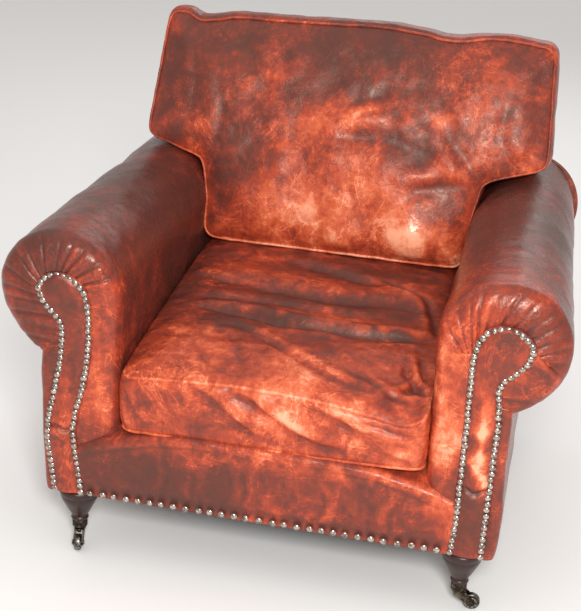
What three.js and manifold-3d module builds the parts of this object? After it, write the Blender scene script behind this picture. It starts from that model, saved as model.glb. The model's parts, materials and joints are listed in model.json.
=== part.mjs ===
// Scroll-arm club chair: hardwood frame, zigzag seat springs, padded leather covers,
// two loose cushions, turned front legs on castors and splayed rear legs.
// Millimetres, +Z up, the front faces -Y. "left" and "right" are as seen from the front.
// The origin is on the floor under the middle of the chair.
import * as THREE from 'three';
import { mergeVertices } from 'three/addons/utils/BufferGeometryUtils.js';
import Module from 'manifold-3d';

// ---------------------------------------------------------------- driving dimensions
const GAP = 0.4;                 // clearance between pieces that touch

const FRONT_Y = -455;            // front of the nail heads
const BACK_Y = 455;              // outside back at its top edge
const BACK_TOP_Z = 868;          // top of the fixed back
const BACK_RAKE = 0.19;          // the back leans this much rearward for each unit of height
const BODY_BOTTOM_Z = 131;       // underside of the upholstered body

const ARM_INNER_X = 287;         // inner face of the arms
const ROLL = { x: 400, z: 540, r: 113 };   // arm roll at the front
const ROLL_REAR_SHARE = 0.93;    // the arm is this much narrower at its rear end
const SIDE_X = 431;              // outer face of the side panels
const ARM_WALL_X = 344;          // outer side of the padded inner arm wall
const ARM_BOTTOM_Z = 258;        // underside of the padded inner arm wall
const ARM_RAIL_Z = 430;          // underside of the arm rail, inside the roll
const ARM_FRONT_Y = -441;        // front of the padded arm

const RAIL_TOP_Z = 235;
const RAIL_BOTTOM_Z = 140;
const DECK_TOP_Z = 278.5;        // platform under the seat cushion
const CUSHION_X = 284;           // half width of the seat cushion
const CUSHION_SEAM_Z = 466;      // where the back cushion stands on the seat cushion
const WING_X = 405;              // half width of the back above the arms
const CUSHION_TOP_Z = 928;

const POST = { x0: 345, x1: 387, thick: 45 };
const PANEL_THICK = 8;           // outside back panel
const BACK_PAD_THICK = 38;

const BORDER = { x: 335, top: 278, drop: 42, y0: FRONT_Y + 9, y1: ARM_FRONT_Y + 30 };
const LEG = { x: 372, y: -410, r: 35, top: 130 };
const REAR_FOOT = { x: 370, y: 330, width: 32 };
const WHEEL = { r: 16, width: 12, trail: 26, bore: 3.4, axle: 3 };
const CASTOR_TRAIL_DEG = { left: -78, right: 2 };  // heading of each wheel from its pivot

// ---------------------------------------------------------------- materials
const finish = {
  leather: { color: 0x8c3a2c, roughness: 0.42, metalness: 0 },
  hardwood: { color: 0xb08a5c, roughness: 0.7, metalness: 0 },
  leg_wood: { color: 0x2c1a15, roughness: 0.45, metalness: 0 },
  spring_steel: { color: 0x55575a, roughness: 0.45, metalness: 1 },
  nail_metal: { color: 0xa89a86, roughness: 0.35, metalness: 1 },
  castor_metal: { color: 0x6b5f52, roughness: 0.4, metalness: 1 },
  wheel_metal: { color: 0xb9b2a6, roughness: 0.35, metalness: 1 },
  lining: { color: 0x1d1b1a, roughness: 0.95, metalness: 0 },
  felt: { color: 0x8d8172, roughness: 0.95, metalness: 0 },
};

const chair = new THREE.Group();

function add(name, geometry, slot, parent = chair) {
  const mesh = new THREE.Mesh(geometry, new THREE.MeshStandardMaterial(finish[slot]));
  mesh.name = name;
  parent.add(mesh);
  return mesh;
}

// The same piece on both sides; the geometry is drawn for the right, +X, side.
function addPair(name, geometry, slot) {
  add(`${name}_right`, geometry, slot);
  add(`${name}_left`, geometry, slot).scale.x = -1;
}

// ---------------------------------------------------------------- solids
const wasm = await Module();
wasm.setup();

function toManifold(geometry) {
  const bare = geometry.clone();
  bare.deleteAttribute('normal');
  bare.deleteAttribute('uv');
  const merged = mergeVertices(bare, 1e-3);
  return new wasm.Manifold(new wasm.Mesh({
    numProp: 3,
    vertProperties: new Float32Array(merged.attributes.position.array),
    triVerts: new Uint32Array(merged.index.array),
  }));
}

function toGeometry(solid) {
  const mesh = solid.getMesh();
  const geometry = new THREE.BufferGeometry();
  geometry.setAttribute('position', new THREE.BufferAttribute(mesh.vertProperties, 3));
  geometry.setIndex(new THREE.BufferAttribute(mesh.triVerts, 1));
  geometry.computeVertexNormals();
  return geometry;
}

function cut(geometry, ...tools) {
  let solid = toManifold(geometry);
  for (const tool of tools) solid = solid.subtract(toManifold(tool));
  return toGeometry(solid);
}

function common(a, b) {
  return toGeometry(toManifold(a).intersect(toManifold(b)));
}

function join(...parts) {
  let solid = toManifold(parts[0]);
  for (const part of parts.slice(1)) solid = solid.add(toManifold(part));
  return toGeometry(solid);
}

function box(x0, x1, y0, y1, z0, z1) {
  const geometry = new THREE.BoxGeometry(x1 - x0, y1 - y0, z1 - z0);
  return geometry.translate((x0 + x1) / 2, (y0 + y1) / 2, (z0 + z1) / 2);
}

// A front-view outline (x, z) drawn out from y0 to y1.
function alongY(shape, y0, y1, { segments = 8, steps = 1, bevel = 0 } = {}) {
  const geometry = new THREE.ExtrudeGeometry(shape, {
    depth: y1 - y0 - 2 * bevel, steps, curveSegments: segments,
    bevelEnabled: bevel > 0, bevelThickness: bevel, bevelSize: bevel,
    bevelOffset: -bevel, bevelSegments: 2,
  });
  return geometry.rotateX(Math.PI / 2).translate(0, y1 - bevel, 0);
}

// A side-view outline (y, z) drawn out from x0 to x1.
function alongX(shape, x0, x1, { segments = 8, bevel = 0 } = {}) {
  const geometry = new THREE.ExtrudeGeometry(shape, {
    depth: x1 - x0 - 2 * bevel, curveSegments: segments,
    bevelEnabled: bevel > 0, bevelThickness: bevel, bevelSize: bevel,
    bevelOffset: -bevel, bevelSegments: 2,
  });
  const turn = new THREE.Matrix4().makeBasis(
    new THREE.Vector3(0, 1, 0), new THREE.Vector3(0, 0, 1), new THREE.Vector3(1, 0, 0));
  return geometry.applyMatrix4(turn).translate(x0 + bevel, 0, 0);
}

// Lean an upright piece of the back rearward; BACK_TOP_Z is where nothing moves.
function rake(geometry) {
  const lean = new THREE.Matrix4().set(
    1, 0, 0, 0,
    0, 1, BACK_RAKE, -BACK_RAKE * BACK_TOP_Z,
    0, 0, 1, 0,
    0, 0, 0, 1);
  return geometry.applyMatrix4(lean);
}

// The y, once leaned, of an upright piece's y at height z.
const rakedY = (y, z) => y + BACK_RAKE * (z - BACK_TOP_Z);

function polygon(points) {
  return new THREE.Shape(points.map(([a, b]) => new THREE.Vector2(a, b)));
}

// ---------------------------------------------------------------- upright planes of the back
const PANEL_FRONT = BACK_Y - PANEL_THICK;
const POST_BACK = PANEL_FRONT - GAP;
const POST_FRONT = POST_BACK - POST.thick;
const PAD_BACK = POST_FRONT - GAP;
const PAD_FRONT = PAD_BACK - BACK_PAD_THICK;

// ---------------------------------------------------------------- hardwood frame
const BOARD = { y0: ARM_FRONT_Y + 3, y1: ARM_FRONT_Y + 30 };
const FRONT_POST_Y = [BOARD.y1 + GAP, BOARD.y1 + 45];
const REAR_RAIL_Y = [274, 304];
const RAIL_X = POST.x0 - 2;
const SIDE_RAIL_X = [388, 420];

add('front_rail', box(-RAIL_X, RAIL_X, -410, -378, RAIL_BOTTOM_Z, RAIL_TOP_Z), 'hardwood');
add('rear_rail', box(-RAIL_X, RAIL_X, ...REAR_RAIL_Y, RAIL_BOTTOM_Z, RAIL_TOP_Z), 'hardwood');

addPair('front_post',
  box(POST.x0, SIDE_RAIL_X[1], ...FRONT_POST_Y, BODY_BOTTOM_Z, ARM_RAIL_Z - GAP), 'hardwood');

const rearPost = (grow) => rake(box(
  POST.x0 - grow, POST.x1 + grow, POST_FRONT - grow, POST_BACK + grow,
  BODY_BOTTOM_Z - grow, BACK_TOP_Z - 18 + grow));
addPair('rear_post', rearPost(0), 'hardwood');

addPair('side_rail', box(...SIDE_RAIL_X, FRONT_POST_Y[1] + GAP,
  rakedY(POST_FRONT, RAIL_BOTTOM_Z) - GAP, RAIL_BOTTOM_Z, RAIL_TOP_Z), 'hardwood');

const ARM_RAIL = { x0: 350, x1: 420, z1: ARM_RAIL_Z + 30 };
const armRail = (grow) => box(
  ARM_RAIL.x0 - grow, ARM_RAIL.x1 + grow, BOARD.y1 + GAP - grow,
  rakedY(POST_FRONT, ARM_RAIL_Z) - GAP + grow, ARM_RAIL_Z - grow, ARM_RAIL.z1 + grow);
addPair('arm_rail', armRail(0), 'hardwood');

const BACK_RAIL_X = POST.x0 - GAP;
add('back_top_rail', rake(box(-BACK_RAIL_X, BACK_RAIL_X, POST_FRONT + 8, POST_BACK - 5,
  BACK_TOP_Z - 78, BACK_TOP_Z - 18)), 'hardwood');
add('back_lower_rail', rake(box(-BACK_RAIL_X, BACK_RAIL_X, POST_FRONT + 8, POST_BACK - 5,
  300, 360)), 'hardwood');

// Webbing straps up the back, stretched over the fronts of the two rails.
const STRAP = { width: 60, thick: 2, pitch: 190 };
for (let i = 0; i < 3; i += 1) {
  const x = (i - 1) * STRAP.pitch;
  add(`back_webbing_${i + 1}`, rake(box(x - STRAP.width / 2, x + STRAP.width / 2,
    POST_FRONT + 4, POST_FRONT + 4 + STRAP.thick, 302, BACK_TOP_Z - 20)), 'lining');
}

// Glued triangular blocks inside the four corners of the seat frame.
function cornerBlock(y, inward) {
  const reach = 62;
  const shape = polygon([[RAIL_X, 0], [RAIL_X - reach, 0], [RAIL_X, reach]]);
  const geometry = new THREE.ExtrudeGeometry(shape, { depth: 60, bevelEnabled: false });
  if (inward < 0) geometry.rotateX(Math.PI).translate(0, 0, 60);
  return geometry.translate(0, y, 155);
}
addPair('front_corner_block', cornerBlock(-378 + GAP, 1), 'hardwood');
addPair('rear_corner_block', cornerBlock(REAR_RAIL_Y[0] - GAP, -1), 'hardwood');

// ---------------------------------------------------------------- seat springs and deck
function zigzagSpring(x) {
  const front = -398;
  const rear = 296;
  const waves = 9;
  const swing = 24;
  const arch = 5;
  const points = [];
  for (let i = 0; i <= waves * 4; i += 1) {
    const t = i / (waves * 4);
    const turn = Math.sin(2 * Math.PI * waves * t);
    points.push(new THREE.Vector3(x + swing * turn, front + (rear - front) * t,
      RAIL_TOP_Z + 2.6 + arch * Math.sin(Math.PI * t)));
  }
  const wire = polygon([[1.9, 0], [0, 1.9], [-1.9, 0], [0, -1.9]]);
  return new THREE.ExtrudeGeometry(wire, {
    extrudePath: new THREE.CatmullRomCurve3(points), steps: waves * 5, bevelEnabled: false,
  });
}
const SPRING_PITCH = 110;
for (let i = 0; i < 5; i += 1) {
  add(`seat_spring_${i + 1}`, zigzagSpring((i - 2) * SPRING_PITCH), 'spring_steel');
}

add('seat_deck', box(-ARM_INNER_X + 1, ARM_INNER_X - 1, -409, 240, 247, DECK_TOP_Z), 'felt');
add('dust_cover', box(-330, 330, -405, 270, RAIL_BOTTOM_Z - 4, RAIL_BOTTOM_Z - 1), 'lining');

// ---------------------------------------------------------------- arms
// Padded arm seen from the front: a flat inner wall that runs up into the roll.
function armShape() {
  const shape = new THREE.Shape();
  shape.moveTo(ARM_WALL_X, ARM_BOTTOM_Z);
  shape.lineTo(ARM_INNER_X + 3, ARM_BOTTOM_Z);
  shape.lineTo(ARM_INNER_X, ARM_BOTTOM_Z + 60);
  shape.lineTo(ARM_INNER_X, ROLL.z);
  const low = Math.asin((ARM_RAIL_Z - ROLL.z) / ROLL.r);
  shape.absarc(ROLL.x, ROLL.z, ROLL.r, Math.PI, low, true);
  shape.lineTo(ARM_WALL_X, ARM_RAIL_Z);
  return shape;
}

// Outline of the facing board: nearly straight sides that sweep out into the scroll head.
const HEAD = { x: 396, z: 538, r: 48 };
const FACING_BOTTOM_Z = BODY_BOTTOM_Z + 1;
function facingShape(grow, below = 0) {
  const shape = new THREE.Shape();
  shape.moveTo(354 - grow, FACING_BOTTOM_Z - below);
  if (below > 0) shape.lineTo(354 - grow, FACING_BOTTOM_Z);
  shape.quadraticCurveTo(370 - grow, 270, 355 - grow, 380);
  shape.lineTo(HEAD.x - HEAD.r - grow, 500);
  shape.absarc(HEAD.x, HEAD.z, HEAD.r + grow, Math.PI, -0.35, true);
  shape.quadraticCurveTo(392 + grow, 488, 397 + grow, 440);
  shape.quadraticCurveTo(418 + grow, 270, 409 + grow, FACING_BOTTOM_Z);
  if (below > 0) shape.lineTo(409 + grow, FACING_BOTTOM_Z - below);
  return shape;
}

function narrowToRear(geometry) {
  const position = geometry.attributes.position;
  for (let i = 0; i < position.count; i += 1) {
    const along = (position.getY(i) - ARM_FRONT_Y) / (BACK_Y - ARM_FRONT_Y);
    const share = 1 - (1 - ROLL_REAR_SHARE) * along;
    position.setX(i, ARM_INNER_X + (position.getX(i) - ARM_INNER_X) * share);
  }
  return geometry;
}

// Front of the arm, wrapped round the scroll board down to the underside of the body.
function armFrontShape() {
  return polygon([[BORDER.x + 1.5, BODY_BOTTOM_Z], [SIDE_RAIL_X[1], BODY_BOTTOM_Z],
    [SIDE_RAIL_X[1], ARM_RAIL_Z + 20], [ARM_INNER_X + 1, ARM_RAIL_Z + 20],
    [ARM_INNER_X + 1, ARM_BOTTOM_Z], [BORDER.x + 1.5, ARM_BOTTOM_Z]]);
}

function paddedArm() {
  const body = narrowToRear(alongY(armShape(), ARM_FRONT_Y, BACK_Y + 60,
    { segments: 22, steps: 3, bevel: 14 }));
  const block = join(body, alongY(armFrontShape(), ARM_FRONT_Y, BOARD.y1));
  const behind = rake(box(0, 700, POST_BACK + GAP / 2, BACK_Y + 400, 0, 1000));
  const boardPocket = alongY(facingShape(GAP - 6, 6),
    ARM_FRONT_Y - 20, BOARD.y1 + GAP, { segments: 7 });
  const backRoom = rake(box(ARM_INNER_X - 20, ARM_WALL_X + 5, PAD_FRONT - 8, BACK_Y,
    ARM_BOTTOM_Z - 20, ARM_RAIL_Z));
  const railRoom = box(ARM_RAIL.x0 - GAP, 500, BOARD.y1,
    rakedY(POST_FRONT, ARM_RAIL_Z), ARM_RAIL_Z - 60, ARM_RAIL.z1 + GAP);
  const railSlot = common(railRoom, box(ARM_RAIL.x0 - GAP, ARM_RAIL.x1 + GAP,
    BOARD.y1, BACK_Y, 0, 1000));
  return cut(block, behind, boardPocket, backRoom, railSlot, rearPost(GAP));
}
addPair('arm_pad', paddedArm(), 'leather');

addPair('scroll_board', alongY(facingShape(-6), BOARD.y0, BOARD.y1,
  { segments: 7 }), 'hardwood');

const FACING_BACK = ARM_FRONT_Y - GAP;
const FACING_FRONT = FRONT_Y + 5;
addPair('facing_panel', alongY(facingShape(0), FACING_FRONT, FACING_BACK,
  { segments: 7, bevel: 2 }), 'leather');

// The nail trim is one stamped strip that follows the edge of the facing panel.
function nailStrip() {
  const outer = facingShape(1).getPoints(8);
  const inner = facingShape(-9).getPoints(8).reverse();
  return alongY(new THREE.Shape([...outer, ...inner]), FRONT_Y, FACING_FRONT - GAP);
}
addPair('facing_nails', nailStrip(), 'nail_metal');

const sidePanel = cut(
  box(SIDE_RAIL_X[1] + GAP, SIDE_X, ARM_FRONT_Y, BACK_Y, BODY_BOTTOM_Z, ARM_RAIL_Z - 3),
  rake(box(0, 700, POST_BACK + GAP / 2, BACK_Y + 400, 0, 1000)));
addPair('side_panel', sidePanel, 'leather');

// ---------------------------------------------------------------- front border
function borderShape() {
  const points = [[BORDER.x, BODY_BOTTOM_Z - 3], [-BORDER.x, BODY_BOTTOM_Z - 3]].reverse();
  const steps = 12;
  for (let i = 0; i <= steps; i += 1) {
    const t = 1 - (2 * i) / steps;
    points.push([BORDER.x * t, BORDER.top - BORDER.drop * t ** 4]);
  }
  return polygon(points);
}
add('front_border', alongY(borderShape(), BORDER.y0, BORDER.y1, { bevel: 7 }), 'leather');
add('border_nails', box(-330, 330, BORDER.y0 - 4, BORDER.y0 - GAP, 136, 146), 'nail_metal');

// ---------------------------------------------------------------- back
// Outside back seen from behind: it takes in the rear ends of the two arm rolls.
function outsideBackShape() {
  const rear = { x: ARM_INNER_X + (ROLL.x - ARM_INNER_X) * ROLL_REAR_SHARE, z: ROLL.z };
  const radius = ROLL.r * ROLL_REAR_SHARE;
  const corner = 30;
  const low = -1.2;
  const high = Math.acos((WING_X - rear.x) / radius);
  const shape = new THREE.Shape();
  shape.moveTo(-SIDE_X + 4, BODY_BOTTOM_Z);
  shape.lineTo(SIDE_X - 4, BODY_BOTTOM_Z);
  shape.lineTo(SIDE_X - 4, rear.z + radius * Math.sin(low));
  shape.absarc(rear.x, rear.z, radius, low, high, false);
  shape.lineTo(WING_X, BACK_TOP_Z - corner);
  shape.absarc(WING_X - corner, BACK_TOP_Z - corner, corner, 0, Math.PI / 2, false);
  shape.absarc(-WING_X + corner, BACK_TOP_Z - corner, corner, Math.PI / 2, Math.PI, false);
  shape.absarc(-rear.x, rear.z, radius, Math.PI - high, Math.PI - low, false);
  shape.lineTo(-SIDE_X + 4, rear.z + radius * Math.sin(low));
  return shape;
}
add('outside_back', rake(alongY(outsideBackShape(), PANEL_FRONT, BACK_Y, { segments: 10 })),
  'leather');

// Fixed pad of the inside back: it hooks over the top rail and round the posts' sides.
const WING_BOTTOM_Z = ROLL.z + ROLL.r + 6;
function insideBack() {
  const half = ARM_INNER_X - 3;
  const corner = 26;
  const shape = new THREE.Shape();
  shape.moveTo(-half, ARM_BOTTOM_Z + 5);
  shape.lineTo(half, ARM_BOTTOM_Z + 5);
  shape.lineTo(half, WING_BOTTOM_Z);
  shape.lineTo(WING_X, WING_BOTTOM_Z);
  shape.lineTo(WING_X, BACK_TOP_Z - corner);
  shape.absarc(WING_X - corner, BACK_TOP_Z - corner, corner, 0, Math.PI / 2, false);
  shape.absarc(-WING_X + corner, BACK_TOP_Z - corner, corner, Math.PI / 2, Math.PI, false);
  shape.lineTo(-WING_X, WING_BOTTOM_Z);
  shape.lineTo(-half, WING_BOTTOM_Z);
  const block = rake(alongY(shape, PAD_FRONT, POST_BACK, { segments: 6 }));
  const frameRoom = rake(box(-POST.x1 - GAP, POST.x1 + GAP, PAD_BACK, BACK_Y + 50,
    0, BACK_TOP_Z - 18 + GAP));
  return cut(block, frameRoom);
}
add('inside_back', insideBack(), 'leather');

// ---------------------------------------------------------------- loose cushions
function seatCushion() {
  const rear = (z) => rakedY(PAD_FRONT, z) - 1;
  const low = DECK_TOP_Z + 1;
  const shape = new THREE.Shape();
  shape.moveTo(-436, low);
  shape.lineTo(rear(low), low);
  shape.lineTo(rear(452), 452);
  shape.lineTo(rear(452) - 12, CUSHION_SEAM_Z - 3);
  shape.lineTo(100, CUSHION_SEAM_Z - 2);
  shape.quadraticCurveTo(-180, 450, -428, 392);
  shape.quadraticCurveTo(-443, 386, -443, 360);
  shape.lineTo(-443, 300);
  return alongX(shape, -CUSHION_X, CUSHION_X, { segments: 6, bevel: 5 });
}
add('seat_cushion', seatCushion(), 'leather');

// Back cushion: a T whose ears lie over the arms, thinner towards its top.
function backCushion() {
  const front = new THREE.Shape();
  const half = CUSHION_X - 1;
  front.moveTo(-half, CUSHION_SEAM_Z);
  front.lineTo(half, CUSHION_SEAM_Z);
  front.lineTo(half, 560);
  front.lineTo(299, 640);
  front.lineTo(428, 676);
  front.lineTo(430, 692);
  front.lineTo(414, CUSHION_TOP_Z - 16);
  front.lineTo(400, CUSHION_TOP_Z);
  front.lineTo(-400, CUSHION_TOP_Z);
  front.lineTo(-414, CUSHION_TOP_Z - 16);
  front.lineTo(-430, 692);
  front.lineTo(-428, 676);
  front.lineTo(-299, 640);
  front.lineTo(-half, 560);
  const rear = (z) => rakedY(PAD_FRONT, z) - 1;
  const side = new THREE.Shape();
  side.moveTo(118, CUSHION_SEAM_Z);
  side.lineTo(rear(CUSHION_SEAM_Z), CUSHION_SEAM_Z);
  side.lineTo(rear(CUSHION_TOP_Z - 34), CUSHION_TOP_Z - 34);
  side.quadraticCurveTo(355, CUSHION_TOP_Z, 312, CUSHION_TOP_Z);
  side.quadraticCurveTo(284, CUSHION_TOP_Z - 4, 268, CUSHION_TOP_Z - 50);
  side.lineTo(178, 680);
  side.quadraticCurveTo(120, 540, 112, 480);
  return common(alongY(front, 0, 500), alongX(side, -500, 500, { segments: 5 }));
}
add('back_cushion', backCushion(), 'leather');

// ---------------------------------------------------------------- legs
// Turned vase: a wide rounded shoulder that tapers to a ring and a short spigot.
const SPIGOT_Z = 45;
function turnedLeg() {
  const profile = [[0, LEG.top], [LEG.r - 5, LEG.top], [LEG.r, LEG.top - 8],
    [LEG.r, LEG.top - 22], [LEG.r - 5, LEG.top - 36], [LEG.r - 13, LEG.top - 52],
    [15, LEG.top - 66], [16.5, LEG.top - 69], [16.5, LEG.top - 73], [11, LEG.top - 74],
    [10.5, SPIGOT_Z], [4.4, SPIGOT_Z], [4.4, SPIGOT_Z + 13], [0, SPIGOT_Z + 13]];
  const points = profile.map(([r, z]) => new THREE.Vector2(r, z)).reverse();
  return new THREE.LatheGeometry(points, 20).rotateX(Math.PI / 2);
}
for (const [side, sign] of [['right', 1], ['left', -1]]) {
  add(`front_leg_${side}`, turnedLeg(), 'leg_wood').position.set(sign * LEG.x, LEG.y, 0);
}

// Square rear leg, tapered and splayed backward.
function rearLeg() {
  const top = { x: 366, y: 284, half: 24 };
  const geometry = new THREE.BoxGeometry(1, 1, 1);
  const position = geometry.attributes.position;
  for (let i = 0; i < position.count; i += 1) {
    const isTop = position.getZ(i) > 0;
    const end = isTop ? top : { x: REAR_FOOT.x, y: REAR_FOOT.y, half: REAR_FOOT.width / 2 };
    position.setXYZ(i, end.x + 2 * end.half * position.getX(i),
      end.y + 2 * end.half * position.getY(i), isTop ? LEG.top : 0);
  }
  return geometry;
}
addPair('rear_leg', rearLeg(), 'leg_wood');

// ---------------------------------------------------------------- castors
const CUP = { top: 55, bottom: 38, r: 15, bore: 11.2, floor: 42 };
function castorCup() {
  const points = [[4.4, CUP.bottom], [CUP.r - 2, CUP.bottom], [CUP.r, CUP.bottom + 3],
    [CUP.r, CUP.top - 3], [CUP.r - 1.5, CUP.top], [CUP.bore, CUP.top],
    [CUP.bore, CUP.floor], [4.4, CUP.floor], [4.4, CUP.bottom]];
  return new THREE.LatheGeometry(points.map(([r, z]) => new THREE.Vector2(r, z)), 20)
    .rotateX(Math.PI / 2);
}

// Fork, drawn with the wheel ahead along +X: pintle, horn and two cheeks.
function castorFork() {
  const plate = CUP.bottom - GAP;
  const pintle = new THREE.CylinderGeometry(3.8, 3.8, 22, 12).rotateX(Math.PI / 2)
    .translate(0, 0, plate - 3 + 11);
  const disc = new THREE.CylinderGeometry(12, 12, 3, 20).rotateX(Math.PI / 2)
    .translate(0, 0, plate - 1.5);
  const gap = WHEEL.width / 2 + 0.8;
  const thick = 2.6;
  const cheek = new THREE.Shape();
  cheek.moveTo(-9, plate - 1);
  cheek.lineTo(-8, plate - 8);
  cheek.lineTo(WHEEL.trail - 7, WHEEL.r - 4);
  cheek.absarc(WHEEL.trail, WHEEL.r, 7, -2.4, 0.7, false);
  cheek.lineTo(13, plate - 1);
  const slab = () => new THREE.ExtrudeGeometry(cheek,
    { depth: thick, curveSegments: 4, bevelEnabled: false }).rotateX(Math.PI / 2);
  const bridge = box(-8, 3, -gap - 1, gap + 1, plate - 9, plate - 1);
  return join(disc, pintle, bridge,
    slab().translate(0, -gap, 0), slab().translate(0, gap + thick, 0));
}

const CHEEK_OUT = WHEEL.width / 2 + 0.8 + 2.6;
function castorForkDrilled() {
  const hole = new THREE.CylinderGeometry(WHEEL.axle + GAP, WHEEL.axle + GAP, 60, 16)
    .translate(WHEEL.trail, 0, WHEEL.r);
  return cut(castorFork(), hole);
}

function castorAxle() {
  const head = 1.6;
  const shaft = new THREE.CylinderGeometry(WHEEL.axle, WHEEL.axle, 2 * CHEEK_OUT + 3, 16);
  const cap = () => new THREE.CylinderGeometry(WHEEL.axle + 1.6, WHEEL.axle + 1.6, head, 16);
  const out = CHEEK_OUT + GAP + head / 2;
  return join(shaft, cap().translate(0, out, 0), cap().translate(0, -out, 0));
}

function castorWheel() {
  const half = WHEEL.width / 2;
  const points = [[WHEEL.bore, -half], [WHEEL.r - 3, -half], [WHEEL.r, -half + 2.5],
    [WHEEL.r, half - 2.5], [WHEEL.r - 3, half], [WHEEL.bore, half], [WHEEL.bore, -half]];
  return new THREE.LatheGeometry(points.map(([r, z]) => new THREE.Vector2(r, z)), 24);
}

for (const [side, sign] of [['right', 1], ['left', -1]]) {
  const castor = new THREE.Group();
  castor.position.set(sign * LEG.x, LEG.y, 0);
  castor.rotation.z = THREE.MathUtils.degToRad(CASTOR_TRAIL_DEG[side]);
  chair.add(castor);
  add(`castor_cup_${side}`, castorCup(), 'castor_metal', castor);
  add(`castor_fork_${side}`, castorForkDrilled(), 'castor_metal', castor);
  add(`castor_axle_${side}`, castorAxle(), 'castor_metal', castor)
    .position.set(WHEEL.trail, 0, WHEEL.r);
  add(`castor_wheel_${side}`, castorWheel(), 'wheel_metal', castor)
    .position.set(WHEEL.trail, 0, WHEEL.r);
}

export default chair;
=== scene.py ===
import itertools
import json
import math

import bmesh
import bpy
import mathutils
import mathutils.kdtree
import numpy as np
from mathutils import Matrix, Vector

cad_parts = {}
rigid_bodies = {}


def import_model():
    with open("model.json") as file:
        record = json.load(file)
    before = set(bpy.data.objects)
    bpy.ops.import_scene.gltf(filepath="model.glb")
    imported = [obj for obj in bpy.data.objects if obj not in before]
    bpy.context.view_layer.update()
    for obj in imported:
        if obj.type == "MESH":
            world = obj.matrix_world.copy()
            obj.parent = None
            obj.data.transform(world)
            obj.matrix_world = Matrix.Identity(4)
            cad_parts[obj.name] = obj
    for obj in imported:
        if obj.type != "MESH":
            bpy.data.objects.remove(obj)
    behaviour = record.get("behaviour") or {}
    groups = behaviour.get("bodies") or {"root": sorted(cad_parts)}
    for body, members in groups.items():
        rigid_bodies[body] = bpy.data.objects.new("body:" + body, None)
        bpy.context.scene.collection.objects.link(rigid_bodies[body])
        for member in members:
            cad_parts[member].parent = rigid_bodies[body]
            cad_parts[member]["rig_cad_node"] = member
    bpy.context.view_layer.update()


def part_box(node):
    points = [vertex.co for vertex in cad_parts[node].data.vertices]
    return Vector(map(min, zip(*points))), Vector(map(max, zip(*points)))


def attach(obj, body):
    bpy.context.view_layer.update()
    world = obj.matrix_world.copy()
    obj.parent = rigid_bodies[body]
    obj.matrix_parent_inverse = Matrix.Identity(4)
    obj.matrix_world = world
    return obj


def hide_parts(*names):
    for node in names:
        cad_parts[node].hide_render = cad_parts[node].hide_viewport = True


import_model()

# ------------------------------------------------------------------ sizes, in metres
BACK_RAKE = 0.19                 # the back leans this much rearward for each unit of height
BACK_TOP_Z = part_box("outside_back")[1].z
BACK_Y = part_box("outside_back")[1].y
BODY_BOTTOM_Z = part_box("side_panel_right")[0].z
SIDE_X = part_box("side_panel_right")[1].x
ARM_FRONT_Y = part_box("arm_pad_right")[0].y
ARM_INNER_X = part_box("arm_pad_right")[0].x
WING_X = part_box("inside_back")[1].x
NAIL_PLANE_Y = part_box("facing_panel_right")[0].y
DECK_TOP_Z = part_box("seat_deck")[1].z
BORDER_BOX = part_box("front_border")
PANEL_FRONT_Y = BACK_Y - 0.008   # upright plane of the outside back's front
LEATHER_THICKNESS = 0.0022
SIDES = (("right", 1), ("left", -1))


def raked(y, z):
    """The y, once leaned, of the upright plane y at height z."""
    return y + BACK_RAKE * (z - BACK_TOP_Z)


# ------------------------------------------------------------------ noise and curves
GRADIENTS = np.random.default_rng(11).normal(size=(256, 3))
GRADIENTS /= np.linalg.norm(GRADIENTS, axis=1)[:, None]
SHUFFLE = np.random.default_rng(12).permutation(256)


def noise(points, size, seed=0):
    """Smooth noise of about -1 to 1 with features of the given size."""
    p = np.asarray(points, float) / size + seed * 17.31
    cell = np.floor(p).astype(int)
    f = p - cell
    ease = f * f * f * (f * (f * 6 - 15) + 10)
    total = np.zeros(len(p))
    for corner in itertools.product((0, 1), repeat=3):
        c = np.array(corner)
        k = cell + c
        h = SHUFFLE[(SHUFFLE[(SHUFFLE[k[:, 0] % 256] + k[:, 1]) % 256] + k[:, 2]) % 256]
        weight = np.prod(np.where(c == 1, ease, 1 - ease), axis=1)
        total += weight * (GRADIENTS[h] * (f - c)).sum(1)
    return total * 1.6


def fbm(points, size, seed=0, octaves=3):
    """Noise with finer, weaker octaves added."""
    return sum(0.5 ** k * noise(points, size / 2 ** k, seed + 3 * k) for k in range(octaves))


def smoothstep(low, high, value):
    t = np.clip((value - low) / (high - low), 0, 1)
    return t * t * (3 - 2 * t)


def curve(points, count):
    """A smooth curve through the points, resampled at equal steps."""
    p = np.asarray(points, float)
    ring = np.vstack([2 * p[0] - p[1], p, 2 * p[-1] - p[-2]])
    out = []
    for a, b, c, d in zip(ring, ring[1:], ring[2:], ring[3:]):
        for t in np.linspace(0, 1, 24, endpoint=False):
            out.append(0.5 * (2 * b + (c - a) * t + (2 * a - 5 * b + 4 * c - d) * t ** 2
                              + (3 * b - a - 3 * c + d) * t ** 3))
    return resample(np.array(out + [ring[-2]]), count)


def resample(path, count, closed=False):
    """The path at equal steps; a closed path comes back to its start."""
    if closed:
        path = np.vstack([path, path[:1]])
    steps = np.r_[0, np.cumsum(np.linalg.norm(np.diff(path, axis=0), axis=1))]
    at = np.linspace(0, steps[-1], count, endpoint=not closed)
    return np.column_stack([np.interp(at, steps, axis) for axis in path.T])


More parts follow.
